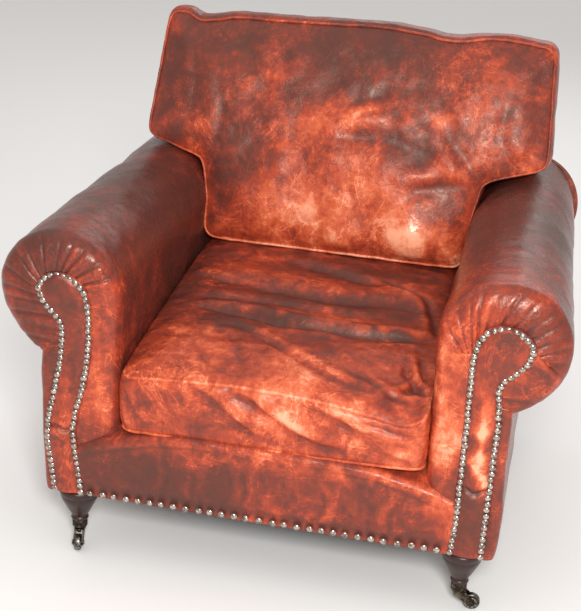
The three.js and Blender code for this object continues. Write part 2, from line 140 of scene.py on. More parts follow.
def rounded(corners, radii, per_corner=8):
    """A closed outline with each corner rounded by its radius."""
    p = np.asarray(corners, float)
    out = []
    for before, here, after, r in zip(np.roll(p, 1, axis=0), p, np.roll(p, -1, axis=0), radii):
        sides = np.array([np.linalg.norm(before - here), np.linalg.norm(after - here)])
        u, v = (before - here) / sides[0], (after - here) / sides[1]
        half = math.acos(np.clip(u @ v, -1, 1)) / 2
        reach = min(r / math.tan(half), *(0.45 * sides))
        for t in np.linspace(0, 1, per_corner):
            out.append(here + u * reach * (1 - t) ** 2 + v * reach * t ** 2)
    return np.array(out)


def to_line(points, line):
    """Distance from each 2-D point to a polyline, the share along it, and which side it is on."""
    best = np.full(len(points), 9e9)
    share, side = np.zeros((2, len(points)))
    lengths = np.linalg.norm(np.diff(line, axis=0), axis=1)
    start = np.r_[0, np.cumsum(lengths)]
    for a, b, s0, length in zip(line, line[1:], start, lengths):
        d = (b - a) / length
        rel = points - a
        t = np.clip(rel @ d, 0, length)
        dist = np.linalg.norm(rel - t[:, None] * d, axis=1)
        nearer = dist < best
        best = np.where(nearer, dist, best)
        share = np.where(nearer, (s0 + t) / start[-1], share)
        side = np.where(nearer, np.sign(d[0] * rel[:, 1] - d[1] * rel[:, 0]), side)
    return best, share, side


def rim_distance(flat, outline):
    return to_line(flat, np.vstack([outline, outline[:1]]))[0]


def folds(points, table):
    """Height of creases: each is a sharp valley along a line with a soft lip on one side. A row is
    the line, the depth, the width and the lip's share, which is negative for the other side."""
    total = 0
    for line, depth, width, lip in table:
        d, share, where = to_line(points, curve(line, 40))
        fade = np.clip(np.sin(math.pi * np.clip(share, 0, 1)), 0, 1) ** 0.45
        valley = -np.exp(-(d / width) ** 1.5)
        rise = np.exp(-((d - 1.9 * width) / (1.5 * width)) ** 2) * (where * lip > 0)
        total = total + depth * fade * (valley + abs(lip) * rise)
    return total


# ------------------------------------------------------------------ meshes
def smooth(mesh):
    mesh.polygons.foreach_set("use_smooth", [True] * len(mesh.polygons))
    mesh.update()


def mesh_object(name, verts, faces):
    mesh = bpy.data.meshes.new(name)
    mesh.from_pydata(np.asarray(verts, float).tolist(), [], [tuple(map(int, f)) for f in faces])
    smooth(mesh)
    obj = bpy.data.objects.new(name, mesh)
    bpy.context.scene.collection.objects.link(obj)
    return obj


def coords(obj, what="co"):
    out = np.empty(len(obj.data.vertices) * 3)
    obj.data.vertices.foreach_get(what, out)
    return out.reshape(-1, 3)


def normals(obj):
    return coords(obj, "normal")


def set_coords(obj, co):
    obj.data.vertices.foreach_set("co", np.asarray(co, float).ravel())
    obj.data.update()


def displace(obj, height):
    """Moves each point along its normal."""
    set_coords(obj, coords(obj) + normals(obj) * height[:, None])


def face_toward(obj, direction):
    """Turns a sheet's faces to look, on the whole, in a direction."""
    if (normals(obj) @ direction).sum() < 0:
        obj.data.flip_normals()


def grid_faces(rows, cols, wrap=False):
    """Quads of a grid of rows by cols points; wrap joins the last column to the first."""
    r = np.arange(rows - 1)[:, None]
    c = np.arange(cols if wrap else cols - 1)[None, :]
    n = (c + 1) % cols
    order = (r * cols + c, (r + 1) * cols + c, (r + 1) * cols + n, r * cols + n)
    return np.stack([x.ravel() for x in order], axis=1)


def lifted(grid, height, direction):
    """A grid of points moved along its normals, which look, on the whole, in a direction."""
    n = np.cross(np.gradient(grid, axis=1), np.gradient(grid, axis=0))
    n /= np.maximum(np.linalg.norm(n, axis=2, keepdims=True), 1e-12)
    return grid + n * np.sign((n @ direction).sum()) * height[..., None]


def modified(obj, kind, **settings):
    """The object with one modifier applied."""
    modifier = obj.modifiers.new("made", kind)
    for key, value in settings.items():
        setattr(modifier, key, value)
    bpy.context.view_layer.update()
    mesh = bpy.data.meshes.new_from_object(
        obj.evaluated_get(bpy.context.evaluated_depsgraph_get()))
    obj.modifiers.clear()
    obj.data = mesh
    smooth(mesh)


def subdivide(obj):
    modified(obj, "SUBSURF", levels=1, render_levels=1)


def thicken(obj, thickness):
    modified(obj, "SOLIDIFY", thickness=thickness, offset=-1)


def close_up(obj, weld=0.0):
    """Welds points nearer than a distance, where one is given, and turns the faces outward."""
    bm = bmesh.new()
    bm.from_mesh(obj.data)
    if weld:
        bmesh.ops.remove_doubles(bm, verts=bm.verts, dist=weld)
        bmesh.ops.dissolve_degenerate(bm, edges=bm.edges, dist=weld)
    bmesh.ops.recalc_face_normals(bm, faces=bm.faces)
    bm.to_mesh(obj.data)
    bm.free()
    smooth(obj.data)


def tube(name, path, radius, sides=8, closed=False):
    """A round cord along a path, with flat ends where it is open."""
    p = np.asarray(path, float)
    ahead = np.roll(p, -1, axis=0) - np.roll(p, 1, axis=0) if closed else np.gradient(p, axis=0)
    ahead /= np.linalg.norm(ahead, axis=1)[:, None]
    side = np.cross(ahead[0], (0.31, 0.59, 0.74))
    a = np.linspace(0, 2 * math.pi, sides, endpoint=False)[:, None]
    rings = []
    for here, t in zip(p, ahead):
        side = side - t * (side @ t)
        side /= np.linalg.norm(side)
        rings.append(here + radius * (np.cos(a) * side + np.sin(a) * np.cross(t, side)))
    faces = [tuple(f) for f in grid_faces(len(p), sides, wrap=True)]
    last = (len(p) - 1) * sides
    if closed:
        # The ring may come back turned, so the last one joins the first by its nearest point.
        shift = int(np.argmin(np.linalg.norm(rings[0] - rings[-1][0], axis=1)))
        for k in range(sides):
            a, b = last + k, last + (k + 1) % sides
            faces.append((a, (k + shift) % sides, (k + 1 + shift) % sides, b))
    else:
        faces += [tuple(range(sides)), tuple(range(last + sides - 1, last - 1, -1))]
    obj = mesh_object(name, np.concatenate(rings), faces)
    close_up(obj)
    return obj


def lathe(name, profile, segments):
    """A turned solid about Z, from the (radius, height) points of its profile."""
    profile = [(0.0, profile[0][1]), *profile, (0.0, profile[-1][1])]
    a = np.linspace(0, 2 * math.pi, segments, endpoint=False)
    rings = [np.column_stack([r * np.cos(a), r * np.sin(a), 0 * a + z]) for r, z in profile]
    obj = mesh_object(name, np.concatenate(rings), grid_faces(len(profile), segments, wrap=True))
    close_up(obj, 1e-6)
    return obj


# ------------------------------------------------------------------ wear masks
def smoothed(obj, values, rounds):
    """values averaged over neighbouring vertices the given number of times."""
    ends = np.empty(len(obj.data.edges) * 2, int)
    obj.data.edges.foreach_get("vertices", ends)
    a, b = ends[::2], ends[1::2]
    n = len(obj.data.vertices)
    degree = np.maximum(np.bincount(ends, minlength=n), 1)
    out = np.array(values, float)
    for _ in range(rounds):
        around = [np.bincount(a, weights=axis[b], minlength=n)
                  + np.bincount(b, weights=axis[a], minlength=n) for axis in out.T]
        out = 0.4 * out + 0.6 * np.column_stack(around) / degree[:, None]
    return out


def store(obj, name, data):
    layer = obj.data.attributes.get(name) or obj.data.attributes.new(name, "FLOAT", "POINT")
    layer.data.foreach_set("value", data.astype(np.float32))


def paint(obj, tone, patches=(), relief=0.0012, rounds=14):
    """Stores on the vertices tone, darker below 0 and lighter above 0, which holds wear and colour
    and, at some patches, painted highlights and painted shade, and ridge, -1 in creases to 1 on
    ridges, and returns tone. A patch is x, y, z, radius, amount and a stretch."""
    co = coords(obj)
    value = np.full(len(co), float(tone))
    wobble = np.column_stack([fbm(co, 0.05, s, 2) for s in (31, 32, 33)]) * 0.018
    for x, y, z, radius, amount, *stretch in patches:
        d = np.linalg.norm((co + wobble - (x, y, z)) / (stretch or (1, 1, 1)), axis=1)
        value += amount * np.exp(-(d / radius) ** 2)
    height = ((co - smoothed(obj, co, rounds)) * normals(obj)).sum(1)
    store(obj, "tone", value)
    store(obj, "ridge", np.tanh(height / relief))
    return value


def seam_wear_and_highlight(obj, path, reach):
    """How near each vertex is to a row of 3-D points, from 1 on it to 0."""
    nearest = mathutils.kdtree.KDTree(len(path))
    for k, point in enumerate(path):
        nearest.insert(point, k)
    nearest.balance()
    away = np.array([nearest.find(point)[2] for point in coords(obj)])
    return np.exp(-(away / reach) ** 2)


# ------------------------------------------------------------------ materials
class Shader:
    """Short names for building a material's nodes."""

    def __init__(self, name):
        self.material = bpy.data.materials.new(name)
        self.material.use_nodes = True
        self.tree = self.material.node_tree
        self.tree.nodes.clear()
        self.surface = self.tree.nodes.new("ShaderNodeBsdfPrincipled")
        out = self.tree.nodes.new("ShaderNodeOutputMaterial")
        self.tree.links.new(self.surface.outputs[0], out.inputs[0])
        self.place = self.add("ShaderNodeTexCoord").outputs["Object"]

    def add(self, kind, inputs=None, **settings):
        made = self.tree.nodes.new(kind)
        for key, value in settings.items():
            setattr(made, key, value)
        for key, value in (inputs or {}).items():
            self.put(made.inputs[key], value)
        return made

    def put(self, socket, value):
        if isinstance(value, bpy.types.NodeSocket):
            self.tree.links.new(value, socket)
        else:
            socket.default_value = value

    def math(self, operation, a, b=0.0):
        return self.add("ShaderNodeMath", {0: a, 1: b}, operation=operation).outputs[0]

    def noise(self, scale, detail=3.0, rough=0.55, distort=0.0, turn=(0, 0, 0), stretch=None):
        place = self.place
        if stretch:
            place = self.add("ShaderNodeMapping", {"Vector": place, "Rotation": turn,
                                                   "Scale": stretch}).outputs[0]
        return self.add("ShaderNodeTexNoise", {
            "Vector": place, "Scale": scale, "Detail": detail, "Roughness": rough,
            "Distortion": distort}).outputs[0]

    def remap(self, value, low, high, to_low=0.0, to_high=1.0):
        return self.add("ShaderNodeMapRange", {0: value, 1: low, 2: high, 3: to_low,
                                               4: to_high}).outputs[0]

    def near_half(self, value, width):
        """1 where a noise crosses a half, down to 0 at a width from there."""
        away = self.math("ABSOLUTE", self.math("SUBTRACT", value, 0.5))
        return self.remap(away, 0.0, width, 1.0, 0.0)

    def ramp(self, value, stops):
        made = self.add("ShaderNodeValToRGB", {0: value})
        while len(made.color_ramp.elements) < len(stops):
            made.color_ramp.elements.new(0.5)
        for element, (at, color) in zip(made.color_ramp.elements, stops):
            element.position = at
            element.color = (*color, 1)
        return made.outputs[0]

    def sum(self, *terms, base=0.0):
        """A base plus values, each scaled: (value, factor) pairs."""
        total = base
        for value, factor in terms:
            total = self.math("ADD", total, self.math("MULTIPLY", value, factor))
        return total

    def bump(self, height, distance, strength, under=None):
        inputs = {"Height": height, "Distance": distance, "Strength": strength}
        if under is not None:
            inputs["Normal"] = under
        return self.add("ShaderNodeBump", inputs).outputs[0]

    def attribute(self, name):
        return self.add("ShaderNodeAttribute", attribute_name=name).outputs["Fac"]

    def finish(self, **values):
        for key, value in values.items():
            self.put(self.surface.inputs[key.replace("_", " ")], value)
        return self.material


LEATHER_STOPS = ((0.00, (0.086, 0.029, 0.023)), (0.24, (0.124, 0.030, 0.022)),
                 (0.42, (0.222, 0.037, 0.023)), (0.58, (0.420, 0.058, 0.025)),
                 (0.76, (0.680, 0.132, 0.052)), (1.00, (0.960, 0.400, 0.240)))
# Feathery marks: noise scale, width of the line and stretch.
FEATHERS = ((13.0, 0.016, (1.0, 1.0, 0.5)), (21.0, 0.014, (0.4, 1.0, 1.0)),
            (34.0, 0.018, (1.0, 0.5, 1.0)))


def leather(name, bias, gloss):
    """Distressed pull-up leather: dark patches, rubbed orange areas, pale scuffs and fine creases.
    It reads the tone and ridge that paint() stores, so it shows the painted highlights and painted
    shade held in tone. It lightens ridges as wear and darkens creases as painted shade."""
    s = Shader(name)
    tone, ridge = s.attribute("tone"), s.attribute("ridge")
    patches = s.noise(7.5, 3.0, 0.5, 0.5)
    mottle = s.noise(26.0, 5.0, 0.62, 0.7)
    speckle = s.noise(120.0, 4.0, 0.6, 0.3)
    brushed = s.noise(34.0, 4.0, 0.6, 0.9, (0.4, 0.2, 0.9), (1.0, 1.0, 0.28))
    # Contour lines of stretched noises make thin feathery marks that cross one another.
    marks = 0.0
    for k, (scale, width, squeeze) in enumerate(FEATHERS):
        field = s.noise(scale, 4.0, 0.6, 1.3, (0.5 * k, 0.9 * k, 0.7 + 0.8 * k), squeeze)
        patchy = s.remap(s.noise(8.0 + 3.0 * k, 2.0), 0.44, 0.62)
        marks = s.math("ADD", marks, s.math("MULTIPLY", s.near_half(field, width), patchy))
    # ridge lightens ridges as rubbed wear and darkens creases as painted shade; tone brings in the
    # patches' wear and their painted highlights and shade
    value = s.sum((tone, 1.0), (patches, 0.62), (mottle, 0.66), (speckle, 0.26), (brushed, 0.40),
                  (marks, 0.19), (ridge, 0.13), base=bias - 0.55)
    rough = s.sum((mottle, 0.20), (speckle, 0.12), (marks, 0.05), (ridge, -0.04), (tone, -0.14),
                  base=0.13 - gloss)
    creases = s.near_half(s.noise(48.0, 5.0, 0.6, 1.3), 0.06)
    normal = s.bump(s.math("MULTIPLY", creases, -1.0), 0.0004, 0.42)
    normal = s.bump(s.noise(85.0, 4.0, 0.6, 0.6), 0.0006, 0.42, normal)
    grain = s.add("ShaderNodeTexVoronoi", {"Vector": s.place, "Scale": 620.0}).outputs["Distance"]
    grain = s.sum((grain, 0.6), (s.noise(420.0, 3.0, 0.6), 0.6))
    normal = s.bump(grain, 0.00018, 0.5, normal)
    return s.finish(Base_Color=s.ramp(value, LEATHER_STOPS), Roughness=rough, Normal=normal,
                    Specular_IOR_Level=0.45, Specular_Tint=(1.0, 0.80, 0.68, 1.0))


def wood(name, dark, light, rough, squeeze):
    """Stained timber with long grain, pores and rubbed edges."""
    s = Shader(name)
    grain = s.noise(150.0, 5.0, 0.65, 0.4, stretch=squeeze)
    broad = s.noise(18.0, 3.0, 0.5, 1.0, stretch=squeeze)
    knocks = s.remap(s.noise(70.0, 5.0, 0.7), 0.60, 0.72)
    value = s.sum((grain, 0.6), (broad, 0.6), (knocks, 0.35))
    colour = s.ramp(value, ((0.25, dark), (0.65, light), (1.0, tuple(1.8 * c for c in light))))
    return s.finish(Base_Color=colour, Normal=s.bump(grain, 0.0006, 0.4),
                    Roughness=s.sum((knocks, 0.25), base=rough))


def metal(name, dark, bright, rough, scale, low, high):
    """Antiqued metal: dark tarnish with bright rubbed places and small dents."""
    s = Shader(name)
    tarnish = s.noise(scale, 4.0, 0.65)
    rubbed = s.remap(tarnish, low, high)
    fine = s.noise(900.0, 3.0, 0.6)
    colour = s.ramp(s.sum((rubbed, 0.8), (fine, 0.3)), ((0.1, dark), (0.85, bright)))
    return s.finish(Base_Color=colour, Metallic=1.0,
                    Roughness=s.sum((rubbed, -0.18), base=rough + 0.14),
                    Normal=s.bump(s.sum((tarnish, 0.5), (fine, 0.5)), 0.0003, 0.5))


def woven(name, dark, light, threads):
    """Plain woven or needled cloth."""
    s = Shader(name)
    waves = [s.add("ShaderNodeTexWave", {"Vector": s.place, "Scale": threads / 6.3,
                                         "Distortion": 0.6, "Detail": 1.0},
                   bands_direction=axis).outputs[1] for axis in ("X", "Y")]
    weave = s.math("MULTIPLY", *waves)
    colour = s.ramp(s.sum((weave, 0.5), (s.noise(14.0, 5.0, 0.6), 0.6)),
                    ((0.2, dark), (0.8, light)))
    return s.finish(Base_Color=colour, Roughness=0.92, Normal=s.bump(weave, 0.0008, 0.6))


LEATHER = leather("leather_main", 0.0, -0.04)
LEATHER_ARM = leather("leather_arm", -0.09, 0.03)
HARDWOOD = wood("frame_timber", (0.24, 0.14, 0.07), (0.48, 0.32, 0.18), 0.65, (0.06, 1, 1))
LEG_WOOD = wood("leg_timber", (0.007, 0.0025, 0.002), (0.032, 0.010, 0.007), 0.34, (1, 1, 0.06))
NAIL_METAL = metal("nail_antique", (0.11, 0.08, 0.065), (0.58, 0.50, 0.44), 0.18, 120.0, 0.36, 0.60)
CASTOR_METAL = metal("castor_antique", (0.025, 0.020, 0.016), (0.22, 0.17, 0.12), 0.34,
                     90.0, 0.50, 0.70)
WHEEL_METAL = metal("castor_wheel_worn", (0.035, 0.030, 0.026), (0.34, 0.31, 0.28), 0.30,
                    140.0, 0.44, 0.68)
SPRING_STEEL = metal("spring_wire", (0.05, 0.05, 0.05), (0.30, 0.31, 0.32), 0.35,
                     160.0, 0.42, 0.62)
FELT = woven("deck_felt", (0.060, 0.030, 0.022), (0.20, 0.10, 0.070), 500.0)
LINING = woven("black_lining", (0.006, 0.006, 0.006), (0.030, 0.028, 0.026), 700.0)
WEBBING = woven("jute_webbing", (0.14, 0.09, 0.05), (0.42, 0.32, 0.19), 400.0)


def wear(obj, material, replaces=(), body="chair"):
    """Gives a finished piece its material and the body that it rides on."""
    obj.data.materials.clear()
    obj.data.materials.append(material)
    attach(obj, body)
    if replaces:
        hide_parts(*replaces)


def upholster(obj, material, node, tone, patches=(), relief=0.0012):
    """Painted tone (wear, painted highlights and painted shade), material and body of a padded
    leather piece, with the imported part it replaces hidden; returns its tone.
    """
    value = paint(obj, tone, patches, relief)
    wear(obj, material, (node,))
    return value


def leather_sheet(name, grid, direction, thickness, weld=0.0):
    """A sheet of leather through a grid of points, its outer face in a direction."""
    obj = mesh_object(name, grid.reshape(-1, 3), grid_faces(*grid.shape[:2]))
    if weld:
        close_up(obj, weld)
    face_toward(obj, direction)
    thicken(obj, thickness)
    return obj


def on_side(patches, sign):
    """A right-hand piece's patches for either side; an amount may be a right and left pair."""
    return [(sign * x, y, z, radius, np.broadcast_to(amount, 2)[int(sign < 0)], *stretch)
            for x, y, z, radius, amount, *stretch in patches]


# ------------------------------------------------------------------ arms
# Outline of each facing's nail line, from the foot of the inner edge over the scroll head to the
# foot of the outer edge, in (x, z). The two arms were stuffed by hand, so they differ.
NAIL_LINE = {
    "right": [(0.350, 0.134), (0.355, 0.200), (0.356, 0.270), (0.356, 0.400), (0.355, 0.500),
              (0.357, 0.540), (0.369, 0.570), (0.388, 0.584), (0.409, 0.586), (0.430, 0.580),
              (0.449, 0.564), (0.452, 0.545), (0.441, 0.522), (0.425, 0.504), (0.410, 0.490),
              (0.404, 0.468), (0.409, 0.420), (0.408, 0.350), (0.407, 0.270), (0.407, 0.200),
              (0.406, 0.134)],
    "left": [(0.356, 0.134), (0.364, 0.200), (0.371, 0.262), (0.364, 0.310), (0.352, 0.355),
             (0.341, 0.420), (0.338, 0.480), (0.340, 0.528), (0.352, 0.558), (0.374, 0.573),
             (0.396, 0.577), (0.418, 0.569), (0.431, 0.549), (0.424, 0.525), (0.404, 0.502),
             (0.391, 0.485), (0.388, 0.455), (0.394, 0.405), (0.404, 0.350), (0.417, 0.290),
             (0.420, 0.240), (0.414, 0.190), (0.407, 0.134)],
}
LINE_STEPS = 400                        # points along a smooth nail line
INNER_STEPS, OUTER_FROM = 150, 250      # its inner edge ends by one, its outer starts at the other
HEAD_TOP = {"right": 8, "left": 10}     # which point is the top of the scroll head
FRONT_LEATHER_Y = ARM_FRONT_Y - 0.003   # leather of the arm's front where the facing covers it
ROLL_CENTRE = {"right": (0.404, 0.538), "left": (0.403, 0.533)}
ROLL_RADIUS = {"right": 0.117, "left": 0.118}
ROLL_END_Z = {"right": 0.412, "left": 0.395}     # where the roll's underside meets the nails
ROLL_END_ANGLE = math.radians(-86)
WALL_LOW_Z = 0.225
# Patches of the right arm; an amount may differ for the right and the left arm.
ARM_PATCHES = ((0.40, -0.35, 0.66, 0.10, (0.10, -0.10)), (0.45, -0.44, 0.58, 0.10, (0.0, -0.16)),
               (0.42, -0.05, 0.65, 0.17, -0.20), (0.40, 0.20, 0.64, 0.15, -0.16),
               (0.29, -0.10, 0.50, 0.17, -0.16),
               # this narrow strip down the front inner corner is a painted highlight
               (0.322, -0.43, 0.40, 0.036, (0.66, 0.28), 1, 1, 3.2),
               (0.31, -0.44, 0.56, 0.06, 0.10), (0.47, -0.42, 0.50, 0.07, -0.02),
               (0.29, 0.10, 0.42, 0.14, -0.18))


def arm_roll(side, y):
    """Centre and radius of the arm's roll at depth y: it narrows towards the back."""
    t = np.clip((y - ARM_FRONT_Y) / 0.70, 0, 1.2)
    cx, cz = ROLL_CENTRE[side]
    inner = cx - ROLL_RADIUS[side] - 0.003 * t
    outer = cx + ROLL_RADIUS[side] - 0.025 * t
    return (inner + outer) / 2, cz + 0.006 * t, (outer - inner) / 2


def nail_arc(side, outline, angles):
    """The place on the nail line that each angle of the roll runs to. Round the head that is the
    place straight in from it; below, the places are spread evenly down to the roll's end."""
    half = LINE_STEPS // 2
    cx, cz = ROLL_CENTRE[side]
    first = int(np.argmin(np.abs(outline[:INNER_STEPS, 1] - cz)))
    last = half + int(np.argmin(np.abs(outline[half:, 1] - ROLL_END_Z[side])))
    polar = np.arctan2(outline[first:last, 1] - cz, outline[first:last, 0] - cx)
    turn = np.maximum.accumulate(-np.where(polar < -2.5, polar + 2 * math.pi, polar))
    even = smoothstep(-0.2, 1.0, -angles)
    straight = np.interp(-angles, turn, np.arange(first, last))
    spaced = first + (last - first) * np.linspace(0, 1, len(angles))
    places = np.maximum.accumulate(straight * (1 - even) + spaced * even)
    return np.column_stack([np.interp(places, np.arange(LINE_STEPS), axis) for axis in outline.T])


def pleats(side, angle, rows, progress):
    """Gathers of the leather round the scroll head, deeper towards the nails."""
    rng = np.random.default_rng(5 if side == "right" else 9)
    at, total = math.radians(154), 0
    waver = 0.03 * np.sin(rows / 9.0)[:, None]
    while at > math.radians(-70):
        strength, width = rng.uniform(0.5, 1.25), rng.uniform(0.030, 0.055)
        away = (angle[None, :] - at - waver * strength) / (width * (1.45 - 0.6 * progress))
        total = total - strength * np.exp(-np.abs(away) ** 1.3)
        total += 0.34 * strength * np.exp(-((away - 1.8) / 1.5) ** 2)
        at -= math.radians(rng.uniform(11.0, 21.0))
    return total


def arm_cover(side, sign):
    """Leather of one arm: the inner wall, the roll and the pleated front, as one surface."""
    wall, back_rows, front_rows = 64, 100, 56
    outline = curve(NAIL_LINE[side], LINE_STEPS)
    inner_edge = outline[:INNER_STEPS]
    inner_edge = inner_edge[np.argsort(inner_edge[:, 1])]
    cz0 = ROLL_CENTRE[side][1]
    wall_z = np.linspace(WALL_LOW_Z, cz0, wall, endpoint=False)
    angles = np.linspace(math.pi, ROLL_END_ANGLE, 184)
    turn = np.r_[np.full(wall, math.pi), angles]
    on_wall = np.arange(len(turn)) < wall
    y_edge = ARM_FRONT_Y + 0.040        # where the roll starts to turn in to the nails
    grid = np.zeros((back_rows + front_rows, len(turn), 3))
    for row in range(back_rows):
        share = (row / (back_rows - 1)) ** 0.85
        z = np.r_[wall_z, cz0 + ROLL_RADIUS[side] * np.sin(angles)]
        y_rear = raked(PANEL_FRONT_Y - 0.001, z)
        y = y_rear + (y_edge - y_rear) * share
        cx, cz, r = arm_roll(side, y)
        x = cx + r * np.cos(turn) + 0.004 * smoothstep(0.50, 0.30, z) * on_wall
        raised = z + (cz - cz0) * (z - WALL_LOW_Z) / (cz0 - WALL_LOW_Z)
        grid[row] = np.column_stack([x, y, np.where(on_wall, raised, cz + r * np.sin(turn))])
    outer = grid[back_rows - 1]
    target = np.zeros_like(outer)
    target[:wall, 0] = np.interp(wall_z, inner_edge[:, 1], inner_edge[:, 0])
    target[:wall, 2] = wall_z
    target[wall:, [0, 2]] = nail_arc(side, outline, angles)
    for row in range(front_rows):
        theta = (row + 1) / front_rows * math.pi / 2
        # Past the quarter turn the leather runs on under the facing.
        across = (1 - math.cos(theta)) ** 1.12
        here = outer + (target - outer) * across * 1.04
        here[:, 1] = (y_edge - (y_edge - FRONT_LEATHER_Y) * math.sin(theta) ** 0.92
                      + 0.004 * smoothstep(0.86, 1.0, across))
        grid[back_rows + row] = here
    rows = np.arange(back_rows + front_rows)
    progress = smoothstep(back_rows - 14, back_rows + front_rows * 0.80, rows)[:, None]
    mirrored = grid.reshape(-1, 3) * (sign, 1, 1)
    height = 0.0030 * fbm(mirrored, 0.15, 3, 2) + 0.0010 * fbm(mirrored, 0.045, 5, 2)
    height = height.reshape(grid.shape[:2]) + 0.0040 * progress ** 1.7 * pleats(
        side, np.r_[math.pi + (cz0 - wall_z) * 6, angles], rows, progress)
    nearing = smoothstep(back_rows + front_rows * 0.80, len(rows) - 1, rows)[:, None]
    height = np.where(height > 0, height * (1 - nearing), height)
    # A soft stuffed lip just behind the nails.
    height += 0.003 * np.exp(-((rows - back_rows - front_rows * 0.45) / 12.0) ** 2)[:, None]
    grid = lifted(grid, height, (0, 0, 1)) * (sign, 1, 1)
    obj = leather_sheet(f"arm_cover_{side}", grid, (0, 0, 1), LEATHER_THICKNESS)
    upholster(obj, LEATHER_ARM, f"arm_pad_{side}", 0.0, on_side(ARM_PATCHES, sign))


def spread(left, right, margin):
    """Moves two edges apart by a margin, along each edge's own normal."""
    out = []
    for line, turn in ((left, 1), (right, -1)):
        ahead = np.gradient(line, axis=0)
        ahead /= np.linalg.norm(ahead, axis=1)[:, None]
        out.append(line + turn * margin * np.column_stack([-ahead[:, 1], ahead[:, 0]]))
    out[0][-1] = out[1][-1] = (out[0][-1] + out[1][-1]) / 2
    return out


NAIL_PITCH = 0.0122
NAIL_RADIUS = 0.0065
DOME_DEPTH = 0.55                # height of a nail's dome, in radii
DOME = ((0.32, 0.94), (0.60, 0.76), (0.82, 0.48), (0.95, 0.18), (1.0, 0.0), (0.98, -0.16))


def nails(name, spots, y, seed, replaces):
    """Domed nail heads that face the front, each a little out of line."""
    rng = np.random.default_rng(seed)
    around = 14
    a = np.linspace(0, 2 * math.pi, around, endpoint=False)
    rings = grid_faces(len(DOME), around, wrap=True) + 1
    verts, faces = [], []
    for x, z in spots:
        start = len(verts)
        size = NAIL_RADIUS * rng.uniform(0.93, 1.05)
        tilt, shift = rng.normal(0, 0.07, 2), rng.normal(0, 0.0004, 2)
        dome = DOME_DEPTH * size * rng.uniform(0.80, 1.05)
        centre = np.array([x + shift[0], y, z + shift[1]])
        verts.append(centre - (0, dome, 0))
        for r, h in DOME:
            dx, dz = r * size * np.cos(a), r * size * np.sin(a)
            dy = tilt[0] * dx + tilt[1] * dz - h * dome
            verts += list(centre + np.column_stack([dx, dy, dz]))
        faces += [(start, start + 1 + k, start + 1 + (k + 1) % around) for k in range(around)]
        faces += [tuple(f) for f in rings + start]
        faces.append(tuple(range(len(verts) - 1, len(verts) - 1 - around, -1)))
    obj = mesh_object(name, verts, faces)
    close_up(obj)
    wear(obj, NAIL_METAL, (replaces,))


TUCK_Z = 0.272                   # height of the tuck across each facing
# Patches of the right facing; an amount may differ for the right and the left one. The first two
# are a painted highlight streaked down the facing's middle, and the fourth is a painted highlight
# just above the tuck.
FACING_PATCHES = ((0.385, -0.45, 0.38, 0.030, (0.26, 0.12), 0.8, 1, 2.8),
                  (0.386, -0.45, 0.36, 0.015, (0.62, 0.08), 0.8, 1, 5.5),
                  (0.380, -0.45, 0.20, 0.06, -0.02), (0.38, -0.45, 0.285, 0.022, 0.12, 2, 1, 1),
                  (0.405, -0.45, 0.55, 0.04, -0.10))


def facing(side, sign):
    """Padded facing panel, tucked across at a third of its height, with its row of nails."""
    points, top = NAIL_LINE[side], HEAD_TOP[side]
    count, across = 150, 34
    left, right = spread(curve(points[:top + 1], count), curve(points[top:][::-1], count), 0.0065)
    s = np.linspace(0, 1, across)
    x, z = np.moveaxis(left[:, None, :] + (right - left)[:, None, :] * s[None, :, None], 2, 0)
    edge = np.minimum(s, 1 - s)[None, :] * np.linalg.norm(right - left, axis=1)[:, None]
    crown = 0.0085 * (1 - np.exp(-np.maximum(edge - 0.008, 0) / 0.010))
    rim = 0.0035 * (1 - np.exp(-edge / 0.002))
    above = z - (TUCK_Z + 0.004 * np.sin(x * 160))
    tuck = (-0.0045 * np.exp(-np.abs(above / 0.0035) ** 1.4)
            + 0.0040 * np.exp(-((above + 0.012) / 0.009) ** 2)
            + 0.0016 * np.exp(-((above - 0.010) / 0.008) ** 2))
    flat = np.column_stack([sign * x.ravel(), z.ravel(), np.zeros(x.size)])
    lumps = (0.0013 * fbm(flat, 0.06, 21, 3)).reshape(x.shape)
    y = NAIL_PLANE_Y + 0.0075 - rim - crown - (tuck + lumps) * smoothstep(0.006, 0.016, edge)
    obj = leather_sheet(f"facing_{side}", np.dstack([sign * x, y, z]), (0, -1, 0), 0.003, 2e-5)
    upholster(obj, LEATHER, f"facing_panel_{side}", -0.12,
              on_side(FACING_PATCHES, sign), relief=0.0008)
    line = curve(points, 900)
    line = line[line[:, 1] > BODY_BOTTOM_Z + 0.006]
    length = np.linalg.norm(np.diff(line, axis=0), axis=1).sum()
    spots = [(sign * px, pz) for px, pz in resample(line, int(length / NAIL_PITCH) + 1)]
    spots.append((sign * 0.380, BODY_BOTTOM_Z + 0.009))
    nails(f"facing_nails_made_{side}", spots, NAIL_PLANE_Y + 0.0022, 3 if sign > 0 else 4,
          f"facing_nails_{side}")


SIDE_TOP_Z = 0.440               # under the arm's roll
SIDE_BEND = 0.013                # radius of the turn at the front
SIDE_PATCHES = ((SIDE_X, -0.30, 0.20, 0.14, -0.10), (SIDE_X, 0.05, 0.33, 0.16, 0.06),
                (0.42, ARM_FRONT_Y, 0.25, 0.05, 0.04))


